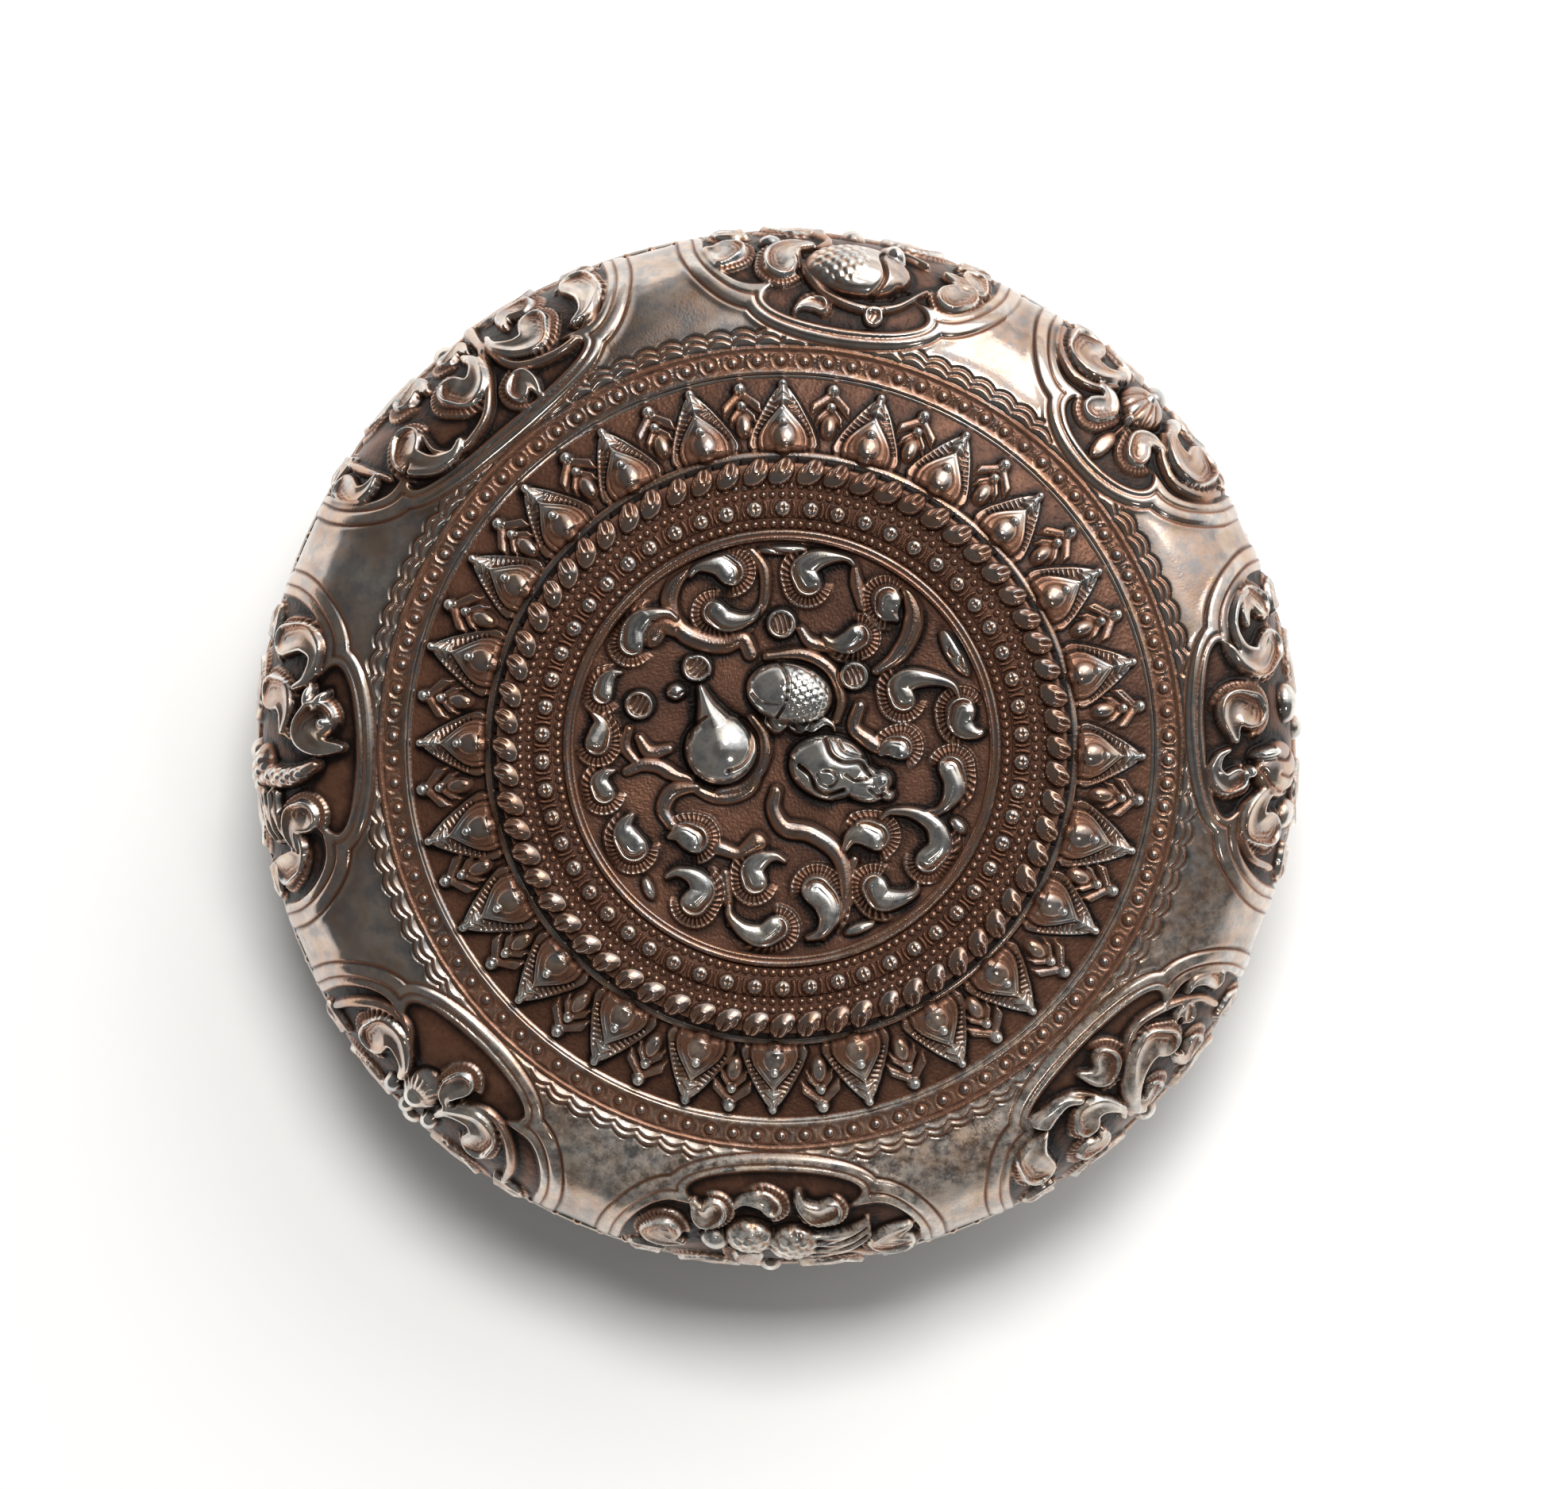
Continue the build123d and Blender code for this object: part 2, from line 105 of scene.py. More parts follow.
def blurred(field, size, wrap):
    """Box blur twice over a grid, wrapping round its columns if asked."""
    out = field
    count = 2 * size
    for axis in (0, 1):
        pad = [(0, 0), (0, 0)]
        pad[axis] = (size, size)
        mode = "wrap" if wrap and axis == 1 else "edge"
        for _ in range(2):
            total = np.cumsum(np.pad(out, pad, mode=mode), axis=axis)
            if axis == 0:
                out = (total[count:] - total[:-count]) / count
            else:
                out = (total[:, count:] - total[:, :-count]) / count
    return out


def polish_of(shine, height, size, wrap):
    """How worn bright each point is: its own shine, less in hollows and more where it stands proud."""
    return np.clip(shine + 0.45 * np.clip(height - blurred(height, size, wrap), -0.6, 0.35), 0, 1)


def grime_and_shade_of(height, size, wrap, depth=2.0):
    """How dark each point is made: 1 is clean and unshaded, less where higher work stands round it, partly as
    old soiling in the hollows and partly as painted shade.
    """
    near = np.clip(height - blurred(height, size, wrap), -0.6, 0)
    far = np.clip(height - blurred(height, 3 * size, wrap), -0.8, 0)
    return np.clip(1 + depth * near + far, 0.1, 1)


def stipple(shape):
    """Fine punched texture, from -1 to 1 or so, as heights over a grid."""
    return 2.2 * blurred(rng.normal(0, 1, shape), 1, True)


def curve_through(points, step):
    """Smooth curve through the points as an array of places and of shares of its length."""
    given = np.array(points, float)
    ends = np.vstack([2 * given[0] - given[1], given, 2 * given[-1] - given[-2]])
    pieces = []
    for k in range(1, len(ends) - 2):
        a, b, c, d = ends[k - 1 : k + 3]
        n = max(2, int(np.linalg.norm(c - b) / step))
        t = np.linspace(0, 1, n, endpoint=False)[:, None]
        square = 2 * a - 5 * b + 4 * c - d
        cube = 3 * b - a - 3 * c + d
        pieces.append(0.5 * (2 * b + (c - a) * t + square * t**2 + cube * t**3))
    places = np.vstack(pieces + [given[-1:]])
    run = np.concatenate([[0], np.cumsum(np.linalg.norm(np.diff(places, axis=0), axis=1))])
    return places, run / run[-1]


def unit(way):
    return way / max(np.linalg.norm(way), 1e-6)


# Widths of a comma leaf and of the facet in it, from head to tail, in widths of its head
LEAF_WIDTHS = (1.0, 0.84, 0.5, 0.24)
FACET_WIDTHS = (0.8, 0.66, 0.36, 0.12)
TAIL_BEND = math.radians(40)
CURVE_STEP = 0.3
LEAF_STEP = 0.2
TICK_PITCH = 0.52
RIB_PITCH = 0.55


class Relief:
    """A height field over flat arrays of places, worked with chased motifs; shine is how polished each is.

    Leaves and stems are drawn leaf_grow and stem_grow times as wide as given. A leaf's facet is hollow at 1
    and full at 0, and its tail is so many widths of its head long.
    """

    def __init__(self, x, y, ground_shine, leaf_grow, leaf_shine, stem_grow, hollow, tail):
        self.x = x
        self.y = y
        self.h = np.zeros(x.size)
        self.shine = np.full(x.size, ground_shine)
        self.leaf_grow = leaf_grow
        self.leaf_shine = leaf_shine
        self.stem_grow = stem_grow
        self.hollow = hollow
        self.tail = tail

    def near(self, points, reach):
        """Numbers of the places in a box round the points."""
        p = np.array(points, float)
        low = p.min(0) - reach
        high = p.max(0) + reach
        in_x = (self.x > low[0]) & (self.x < high[0])
        in_y = (self.y > low[1]) & (self.y < high[1])
        return np.flatnonzero(in_x & in_y)

    def turned(self, chosen, x, y, turn):
        """Places along and across a line through (x, y) that is turned by so many degrees."""
        c = math.cos(math.radians(turn))
        s = math.sin(math.radians(turn))
        dx = self.x[chosen] - x
        dy = self.y[chosen] - y
        return dx * c + dy * s, dy * c - dx * s

    def along(self, chosen, points, widths, step=CURVE_STEP):
        """Distance to a curve as a share of its width there, and the share of its length."""
        places, share = curve_through(points, step)
        width = np.interp(share, np.linspace(0, 1, len(widths)), widths)
        x = self.x[chosen]
        y = self.y[chosen]
        best = np.full(len(chosen), 1e9)
        at = np.zeros(len(chosen))
        for k in range(len(places) - 1):
            a = places[k]
            d = places[k + 1] - a
            t = np.clip(((x - a[0]) * d[0] + (y - a[1]) * d[1]) / max(d @ d, 1e-9), 0, 1)
            w = width[k] + (width[k + 1] - width[k]) * t
            q = np.hypot(x - a[0] - t * d[0], y - a[1] - t * d[1]) / w
            closer = q < best
            best[closer] = q[closer]
            at[closer] = (share[k] + (share[k + 1] - share[k]) * t)[closer]
        return best, at

    def lift(self, chosen, height, shine, inside):
        """Raises places to a height where that is higher than what is there."""
        up = inside & (height > self.h[chosen])
        at = chosen[up]
        self.h[at] = height[up]
        self.shine[at] = shine[up]

    def sink(self, chosen, depth, loss):
        self.h[chosen] -= depth
        self.shine[chosen] -= loss

    def stem(self, points, widths, rise, shine=0.3):
        """Half-round raised line with a dark groove each side."""
        widths = [self.stem_grow * width for width in widths]
        chosen = self.near(points, 2.0 * max(widths))
        q, _ = self.along(chosen, points, widths)
        low = self.h[chosen] < 0.5 * rise
        self.sink(chosen, 0.1 * ridge(q - 1.15, 0.22) * low, 0)
        round_top = np.sqrt(np.clip(1 - q**2, 0, 1))
        self.lift(chosen, rise * round_top, shine - 0.1 + 0.2 * round_top**2, q < 1)

    def groove(self, points, width, depth):
        """Engraved line."""
        chosen = self.near(points, 3 * width)
        q, _ = self.along(chosen, points, [width, width])
        cut = ridge(q, 0.75)
        self.sink(chosen, depth * cut, 0.45 * cut)

    def dome(self, x, y, long, short, turn, rise, power=0.5, shine=0.66):
        """Oval boss."""
        chosen = self.near([(x, y)], 1.6 * max(long, short))
        u, v = self.turned(chosen, x, y, turn)
        q = np.hypot(u / long, v / short)
        low = self.h[chosen] < 0.4 * rise
        self.sink(chosen, 0.15 * ridge((q - 1.06) * min(long, short), 0.22) * low, 0)
        top = np.clip(1 - q**2, 0, 1)
        self.lift(chosen, rise * top**power, shine - 0.35 + 0.45 * top**0.5, q < 1)

    def comma(self, points, width, rise, flange):
        """Comma leaf: bright rim round a lined facet, a short tail, and a ticked flange behind its head."""
        width = self.leaf_grow * width
        flange = self.leaf_grow * flange
        head = np.array(points[0], float)
        end = np.array(points[-1], float)
        toward = unit(np.array(points[1], float) - head)
        left = np.array((-toward[1], toward[0]))
        curl = 1 if left @ (end - head) >= -1e-6 else -1
        lean = unit(0.85 * curl * left + 0.5 * toward)
        # the tail curls on the way that the leaf bends
        last = unit(end - np.array(points[-2], float))
        c = math.cos(curl * TAIL_BEND)
        s = math.sin(curl * TAIL_BEND)
        way = np.array((c * last[0] - s * last[1], s * last[0] + c * last[1]))
        body = points[1:] + [tuple(end + self.tail * width * way)]
        leaf = points[:1] + body
        chosen = self.near(leaf, width + flange + 0.6)
        q, at = self.along(chosen, leaf, [share * width for share in LEAF_WIDTHS], LEAF_STEP)
        facet = [tuple(head + 0.14 * width * lean)] + body
        inner, _ = self.along(chosen, facet, [share * width for share in FACET_WIDTHS], LEAF_STEP)
        x = self.x[chosen] - head[0]
        y = self.y[chosen] - head[1]
        ahead = x * lean[0] + y * lean[1]
        from_back = ahead / (np.hypot(x, y) + 1e-6)
        ticks = max(8, round(2 * math.pi * (width + flange / 2) / TICK_PITCH))
        tick = 0.5 + 0.5 * np.cos(ticks * np.arctan2(y, x))
        self.leaf_flange(chosen, (q - 1) * width, at, from_back, tick, flange, rise)
        self.leaf_face(chosen, q, at, inner, from_back, 0.2 * ahead / width, width, rise)

    def leaf_flange(self, chosen, gap, at, from_back, tick, flange, rise):
        """Flange behind a leaf's head, ticked square to the leaf's edge, with a thin rim."""
        behind = ramp(0.75, 0.3, from_back) * ramp(0.95, 0.6, at)
        skirt = ramp(flange + 0.2, flange - 0.1, gap) * behind
        slope = 0.5 - 0.22 * np.clip(gap / flange, 0, 1)
        lip = ridge(gap - flange + 0.12, 0.13) * behind
        flat = rise * skirt * (slope - 0.2 * tick * (1 - 0.6 * lip) + 0.07 * lip)
        self.lift(chosen, flat, 0.38 - 0.4 * tick * skirt * (1 - 0.6 * lip) + 0.2 * lip, skirt > 0.08)
        low = self.h[chosen] < 0.6 * rise
        moat = ridge(gap - 0.06, 0.12) * low
        self.sink(chosen, 0.12 * moat, 0.2 * moat)

    def leaf_face(self, chosen, q, at, inner, from_back, tilt, width, rise):
        """A leaf's rolled rim round its facet, with a dark crescent and lines inside its back."""
        fall = 1 - 0.35 * at
        full = 1 - self.hollow
        wall = rise * fall * np.clip(1 - q**3, 0, 1) ** 0.5
        bowl = 0.36 + 0.4 * np.clip(inner, 0, 1) ** 2 + tilt
        drop = 0.5 + 0.55 * np.sqrt(np.clip(1 - inner**2, 0, 1)) + 0.6 * tilt
        facet = rise * fall * (self.hollow * bowl + full * drop)
        cut = ramp(1.05, 0.88, inner)
        back = ramp(0.55, -0.1, from_back) * cut
        crescent = ridge((inner - 0.88) * width, 0.2) * back
        lines = (ridge((inner - 0.32) * width, 0.11) + ridge((inner - 0.62) * width, 0.11)) * back
        rim = ridge((inner - 1.08) * width, 0.18) * ramp(1.0, 0.9, q)
        spine = ridge(inner * width, 0.2) * back * self.hollow
        body = wall * (1 - cut) + np.minimum(wall + 0.2 * rise * full, facet) * cut
        body += rise * (0.12 * rim + 0.1 * spine - 0.16 * crescent - 0.09 * lines)
        fade = 1 - full * ramp(0.25, 0.9, at)
        crest = cut * (0.3 + 0.7 * ramp(0.95, 0.35, inner)) * fade
        level = 0.34 + (self.leaf_shine - 0.34) * crest + 0.6 * rim * fade
        level = level + 0.2 * spine - 0.45 * crescent - 0.4 * lines
        self.lift(chosen, body, level, q < 1)

    def bud(self, x, y, radius, rise, turn):
        """Ring boss with a ribbed hollow in it."""
        chosen = self.near([(x, y)], 1.7 * radius)
        d = np.hypot(self.x[chosen] - x, self.y[chosen] - y)
        u, v = self.turned(chosen, x, y, turn)
        across = u + 0.12 * v**2 / radius
        ribs = 0.5 + 0.5 * np.cos(2 * math.pi * across / RIB_PITCH)
        floor = rise * (0.4 + 0.22 * ribs)
        wall = rise * np.sqrt(np.clip(1 - ((d - 0.86 * radius) / (0.2 * radius)) ** 2, 0, 1))
        self.sink(chosen, 0.12 * ridge(d - 1.16 * radius, 0.16), 0)
        height = np.maximum(np.where(d < 0.8 * radius, floor, 0), wall)
        level = np.where(wall > floor, 0.7, 0.1 + 0.6 * ribs)
        self.lift(chosen, height, level, d < 1.06 * radius)

    def scales(self, x, y, long, short, turn, pitch, depth):
        """Overlapping scales chased into whatever stands inside an oval."""
        chosen = self.near([(x, y)], 1.2 * max(long, short))
        u, v = self.turned(chosen, x, y, turn)
        inside = ramp(1.0, 0.86, np.hypot(u / long, v / short))
        best = np.zeros(len(chosen))
        row = np.floor(u / (0.75 * pitch))
        for k in (-1, 0, 1):
            r = row + k
            odd = 0.5 * (r % 2)
            cu = (r + 0.5) * 0.75 * pitch
            cv = (np.round(v / pitch - odd) + odd) * pitch
            d = np.hypot(u - cu, v - cv) / (0.54 * pitch)
            best = np.maximum(best, np.sqrt(np.clip(1 - d**2, 0, 1)))
        self.sink(chosen, inside * depth * (0.6 - best), inside * 0.9 * (0.65 - best))

    def rays(self, x, y, start, far_x, far_y, leans, width, depth):
        """Engraved lines that spread upwards from a point, at so many degrees."""
        for lean in leans:
            s = math.sin(math.radians(lean))
            c = math.cos(math.radians(lean))
            self.groove([(x + start * s, y + start * c), (x + far_x * s, y + far_y * c)], width, depth)

    def wing(self, root, middle, tip, step, width):
        """Three feathers, one above the other, closer together at their tips."""
        for lift in (0.0, step, 2 * step):
            inner_half = [(root[0], root[1] + lift), (middle[0], middle[1] + lift)]
            self.comma(inner_half + [(tip[0], tip[1] + 0.8 * lift)], width, 1.5, 0.1)


# Mesh making
UV_INSET = 0.02
RING_STRIPS = 3


def add_piece(name, points, faces, material, polish=0.5, uv=None, grime_and_shade=1.0):
    """A smooth mesh from points in millimetres and lists of equal-sided faces."""
    mesh = bpy.data.meshes.new(name)
    mesh.vertices.add(len(points))
    mesh.vertices.foreach_set("co", (np.asarray(points, np.float32) * MM).ravel())
    loops = np.concatenate([f.ravel() for f in faces]).astype(np.int32)
    sides = np.concatenate([np.full(len(f), f.shape[1]) for f in faces])
    mesh.loops.add(len(loops))
    mesh.loops.foreach_set("vertex_index", loops)
    mesh.polygons.add(len(sides))
    mesh.polygons.foreach_set("loop_start", np.concatenate([[0], np.cumsum(sides)[:-1]]).astype(np.int32))
    mesh.update(calc_edges=True)
    mesh.polygons.foreach_set("use_smooth", np.ones(len(sides), bool))
    # polish, and a darkening in hollows that is partly soiling and partly painted shade
    for attribute, values in (("polish", polish), ("grime_and_shade", grime_and_shade)):
        layer = mesh.attributes.new(attribute, "FLOAT", "POINT")
        layer.data.foreach_set("value", np.broadcast_to(values, len(points)).astype(np.float32))
    if uv is not None:
        layer = mesh.uv_layers.new(name="OFBake")
        layer.data.foreach_set("uv", np.asarray(uv, np.float32).ravel())
    mesh.materials.append(material)
    piece = bpy.data.objects.new(name, mesh)
    bpy.context.scene.collection.objects.link(piece)
    return piece


def declare(piece, body, node):
    """The body that a piece rides on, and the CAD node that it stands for."""
    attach(piece, body)
    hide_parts(node)


def with_back(values, count, level):
    """Values of a worked face, then one level for all the points behind it."""
    return np.concatenate([values.ravel(), np.full(count, level)])


def grid_faces(rows, columns):
    """Quads of a grid with open edges."""
    corner = np.arange(rows - 1)[:, None] * columns + np.arange(columns - 1)[None, :]
    return np.stack([corner, corner + 1, corner + columns + 1, corner + columns], -1).reshape(-1, 4)


def ring_faces(rows, columns, closed):
    """Quads of a grid that wraps round its columns, and round its rows too if closed."""
    last = rows if closed else rows - 1
    i = np.arange(last)[:, None]
    j = np.arange(columns)[None, :]
    up = (i + 1) % rows
    on = (j + 1) % columns
    corners = [i * columns + j, up * columns + j, up * columns + on, i * columns + on]
    return np.stack(corners, -1).reshape(-1, 4)


def ring_uv(rows, columns, closed, strips):
    """Map of such a grid, cut into strips that stack up to about a square."""
    last = rows if closed else rows - 1
    i = np.arange(last)[:, None] + 0.0 * np.arange(columns)[None, :]
    j = np.arange(columns)[None, :] + 0 * np.arange(last)[:, None]
    per = columns // strips
    strip = np.minimum(j // per, strips - 1)
    longest = columns - (strips - 1) * per
    along = (j - strip * per) / longest
    step = 1 / longest
    corners = []
    for di, dj in ((0, 0), (1, 0), (1, 1), (0, 1)):
        u = UV_INSET + (1 - 2 * UV_INSET) * (along + dj * step)
        v = (strip + UV_INSET + (1 - 2 * UV_INSET) * (i + di) / last) / strips
        corners.append(np.stack([u, v], -1))
    return np.stack(corners, 2).reshape(-1, 2)


def on_circle(radius, height, turn):
    return np.stack([radius * np.sin(turn), radius * np.cos(turn), height + 0 * turn], -1)


def whole_turn(steps):
    """Angles once round, the last of them a step short of the first."""
    return np.linspace(0, 2 * math.pi, steps, endpoint=False)


def turned_piece(name, outline, columns, material, polish=0.5):
    """Closed ring from (radius, height) corners, clockwise as seen with radius to the right."""
    corners = np.array(outline, float)
    count = len(corners)
    r = np.repeat(corners[:, :1], columns, 1)
    z = np.repeat(corners[:, 1:], columns, 1)
    points = on_circle(r, z, np.broadcast_to(whole_turn(columns), r.shape)).reshape(-1, 3)
    level = np.repeat(np.broadcast_to(polish, count), columns)
    faces = ring_faces(count, columns, True)
    return add_piece(name, points, [faces], material, level, ring_uv(count, columns, True, RING_STRIPS))


def rounded(corners, radius, steps=4):
    """Closed outline with each corner turned into a small arc."""
    given = np.array(corners, float)
    out = []
    for k in range(len(given)):
        here = given[k]
        back = given[k - 1] - here
        on = given[(k + 1) % len(given)] - here
        cut = min(radius, 0.45 * np.linalg.norm(back), 0.45 * np.linalg.norm(on))
        a = here + back / np.linalg.norm(back) * cut
        b = here + on / np.linalg.norm(on) * cut
        for t in np.linspace(0, 1, steps):
            out.append((1 - t) ** 2 * a + 2 * t * (1 - t) * here + t * t * b)
    return out


# Materials
BUMP_DEPTH = 0.1 * MM
# Noises: scale, detail and roughness
CLOUDS = (120.0, 6.0, 0.65)
FILMS = (420.0, 8.0, 0.7)
SPECKS = (700.0, 9.0, 0.75)
GRAIN = (3000.0, 3.0, 0.5)
FADING = (60.0, 5.0, 0.6)
FIBRES = (900.0, 8.0, 0.7)
STAINS = (90.0, 6.0, 0.65)
TARNISH_BLUE = (0.3, 0.35, 0.39, 1)
TARNISH_GOLD = (0.42, 0.34, 0.16, 1)
# pale dust colour, on the front and right side also painted sheen
DUST_AND_SHEEN = (0.5, 0.44, 0.35, 1)
PAPER_STAIN = (0.3, 0.19, 0.09, 1)


def feed(tree, socket, value):
    """Gives an input a plain value, or links it to another node's output."""
    if isinstance(value, bpy.types.NodeSocket):
        tree.links.new(value, socket)
    else:
        socket.default_value = value


def fed_node(tree, kind, inputs):
    """New node with the named inputs set or linked."""
    node = tree.nodes.new(kind)
    for name, value in inputs.items():
        feed(tree, node.inputs[name], value)
    return node


def mapped(tree, source, from_low, from_high, to_low, to_high):
    """A number carried from one range to another."""
    inputs = {"Value": source, "From Min": from_low, "From Max": from_high}
    inputs.update({"To Min": to_low, "To Max": to_high})
    return fed_node(tree, "ShaderNodeMapRange", inputs).outputs["Result"]


def noise(tree, place, scale, detail, rough):
    inputs = {"Vector": place, "Scale": scale, "Detail": detail, "Roughness": rough}
    return fed_node(tree, "ShaderNodeTexNoise", inputs).outputs["Fac"]


def maths(tree, operation, first, second):
    """Sum, product or the like of two sockets, or of a socket and a number."""
    node = tree.nodes.new("ShaderNodeMath")
    node.operation = operation
    feed(tree, node.inputs[0], first)
    feed(tree, node.inputs[1], second)
    return node.outputs[0]


def graded(tree, source, stops):
    """Colour ramp of (place, colour) stops, driven by a socket."""
    node = tree.nodes.new("ShaderNodeValToRGB")
    elements = node.color_ramp.elements
    for number, (at, shade) in enumerate(stops):
        stop = elements[number] if number < 2 else elements.new(at)
        stop.position = at
        stop.color = (*shade, 1)
    tree.links.new(source, node.inputs["Fac"])
    return node.outputs["Color"]


def blended(tree, how, factor, first, second):
    """Mix of two colours, each a socket or a colour."""
    node = tree.nodes.new("ShaderNodeMix")
    node.data_type = "RGBA"
    node.blend_type = how
    for name, value in (("Factor", factor), ("A", first), ("B", second)):
        feed(tree, node.inputs[name], value)
    return node.outputs["Result"]


def new_material(name):
    """Material, its node tree and its shader."""
    material = bpy.data.materials.new(name)
    material.use_nodes = True
    return material, material.node_tree, material.node_tree.nodes["Principled BSDF"]


def own_place(tree):
    """Place on the piece, as a socket."""
    return tree.nodes.new("ShaderNodeTexCoord").outputs["Object"]


def attribute(tree, name):
    node = tree.nodes.new("ShaderNodeAttribute")
    node.attribute_name = name
    return node.outputs


def bumped(tree, shader, height, strength):
    inputs = {"Height": height, "Strength": strength, "Distance": BUMP_DEPTH}
    feed(tree, shader.inputs["Normal"], fed_node(tree, "ShaderNodeBump", inputs).outputs["Normal"])


def dust_and_sheen_film(tree, place, bare, dust_and_sheen_share):
    """How much pale dust lies on what is polished, on the side towards the front and right, where it is also
    painted sheen: that side made paler for the light it reflects.
    """
    way = tree.nodes.new("ShaderNodeSeparateXYZ")
    feed(tree, way.inputs[0], place)
    front = mapped(tree, way.outputs["Y"], 0.0, -0.045, 0.0, 1.0)
    right = mapped(tree, way.outputs["X"], -0.045, -0.01, 0.1, 1.0)
    speck = mapped(tree, noise(tree, place, *SPECKS), 0.4, 0.6, 0.0, 1.0)
    film = maths(tree, "MULTIPLY", speck, maths(tree, "MULTIPLY", front, right))
    return maths(tree, "MULTIPLY", film, maths(tree, "MULTIPLY", bare, dust_and_sheen_share))


def old_silver(name, stops, tarnish, cloudy, stippled, dust_and_sheen_share):
    """Silver under a warm patina; stops are colours from deepest recess to worn bright."""
    material, tree, shader = new_material(name)
    place = own_place(tree)
    cloud = mapped(tree, noise(tree, place, *CLOUDS), 0.3, 0.7, -cloudy, cloudy)
    polish = maths(tree, "ADD", attribute(tree, "polish")["Fac"], cloud)
    colour = graded(tree, polish, stops)

    # films of tarnish on what is polished, blue in patches and gold in others
    bare = mapped(tree, polish, 0.28, 0.5, 0.0, 1.0)
    patch = noise(tree, place, *FILMS)
    blue = maths(tree, "MULTIPLY", bare, mapped(tree, patch, 0.44, 0.62, 0.0, tarnish))
    gold = maths(tree, "MULTIPLY", bare, mapped(tree, patch, 0.46, 0.3, 0.0, 0.6 * tarnish))
    colour = blended(tree, "MIX", blue, colour, TARNISH_BLUE)
    colour = blended(tree, "MIX", gold, colour, TARNISH_GOLD)

    # pale dust, only on the front and right side, where it is also painted sheen
    film = dust_and_sheen_film(tree, place, bare, dust_and_sheen_share)
    colour = blended(tree, "MIX", film, colour, DUST_AND_SHEEN)
    # darkened where higher work stands round a point: partly soiling in the hollows, partly painted shade
    colour = blended(tree, "MULTIPLY", 1.0, colour, attribute(tree, "grime_and_shade")["Color"])
    feed(tree, shader.inputs["Base Color"], colour)
    metal = maths(tree, "SUBTRACT", mapped(tree, polish, 0.1, 0.4, 0.35, 0.95), film)
    feed(tree, shader.inputs["Metallic"], metal)
    matt = maths(tree, "MULTIPLY", film, 0.25)
    rough = maths(tree, "ADD", mapped(tree, polish, 0.1, 0.45, 0.4, 0.13), matt)
    feed(tree, shader.inputs["Roughness"], rough)
    bumped(tree, shader, noise(tree, place, *GRAIN), mapped(tree, polish, 0.2, 0.6, stippled, 0.05))
    return material


WARM_STOPS = (
    (0.0, (0.045, 0.022, 0.015)),
    (1.0, (0.96, 0.93, 0.88)),
    (0.12, (0.118, 0.052, 0.032)),
    (0.32, (0.345, 0.17, 0.105)),
    (0.52, (0.6, 0.41, 0.31)),
    (0.76, (0.82, 0.75, 0.68)),
)
PLAIN_STOPS = (
    (0.0, (0.12, 0.085, 0.065)),
    (1.0, (0.8, 0.76, 0.71)),
    (0.4, (0.44, 0.37, 0.31)),
    (0.7, (0.68, 0.62, 0.56)),
)
RELIEF_SILVER = old_silver("relief_silver", WARM_STOPS, 0.7, 0.1, 0.8, 0.3)
SHOULDER_SILVER = old_silver("shoulder_silver", WARM_STOPS, 0.6, 0.14, 0.7, 0.45)
BEAD_SILVER = old_silver("bead_silver", WARM_STOPS, 0.6, 0.1, 0.3, 0.0)
PLAIN_SILVER = old_silver("plain_silver", PLAIN_STOPS, 0.6, 0.2, 0.3, 0.3)


def woven(name, colour, shadow, threads, sheen):
    """Silk: crossed threads in the surface and the colour, with a soft sheen and faded patches."""
    material, tree, shader = new_material(name)
    place = own_place(tree)
    weave = []
    for direction in ("X", "Y"):
        inputs = {"Vector": place, "Scale": threads, "Distortion": 1.2, "Detail": 2.0}
        wave = fed_node(tree, "ShaderNodeTexWave", inputs)
        wave.bands_direction = direction
        weave.append(wave.outputs["Fac"])
    cloth = maths(tree, "MULTIPLY", *weave)
    shade = graded(tree, cloth, ((0.0, shadow), (1.0, colour)))
    faded = mapped(tree, noise(tree, place, *FADING), 0.4, 0.7, 0.0, 0.2)
    pale = (*(0.75 * c + 0.12 for c in colour), 1)
    feed(tree, shader.inputs["Base Color"], blended(tree, "MIX", faded, shade, pale))
    feed(tree, shader.inputs["Roughness"], mapped(tree, cloth, 0.0, 1.0, 0.62, 0.42))
    feed(tree, shader.inputs["Sheen Weight"], sheen)
    bumped(tree, shader, cloth, 0.6)
    return material


def old_paper(name):
    """Handmade paper: long fibres, brown stains and a rough face."""
    material, tree, shader = new_material(name)
    place = own_place(tree)
    stretch = fed_node(tree, "ShaderNodeMapping", {"Vector": place, "Scale": (0.2, 1.0, 1.0)})
    fibre = noise(tree, stretch.outputs["Vector"], *FIBRES)
    shade = graded(tree, fibre, ((0.3, (0.4, 0.29, 0.16)), (0.7, (0.66, 0.54, 0.36))))
    stain = mapped(tree, noise(tree, place, *STAINS), 0.5, 0.72, 0.0, 0.55)
    feed(tree, shader.inputs["Base Color"], blended(tree, "MIX", stain, shade, PAPER_STAIN))
    feed(tree, shader.inputs["Roughness"], 0.85)
    bumped(tree, shader, fibre, 0.5)
    return material


RED_SILK = woven("red_silk", (0.4, 0.035, 0.04), (0.16, 0.01, 0.014), 700.0, 0.5)
GOLD_SILK = woven("gold_silk", (0.66, 0.4, 0.08), (0.34, 0.18, 0.03), 900.0, 0.4)
PAPER = old_paper("handmade_paper")


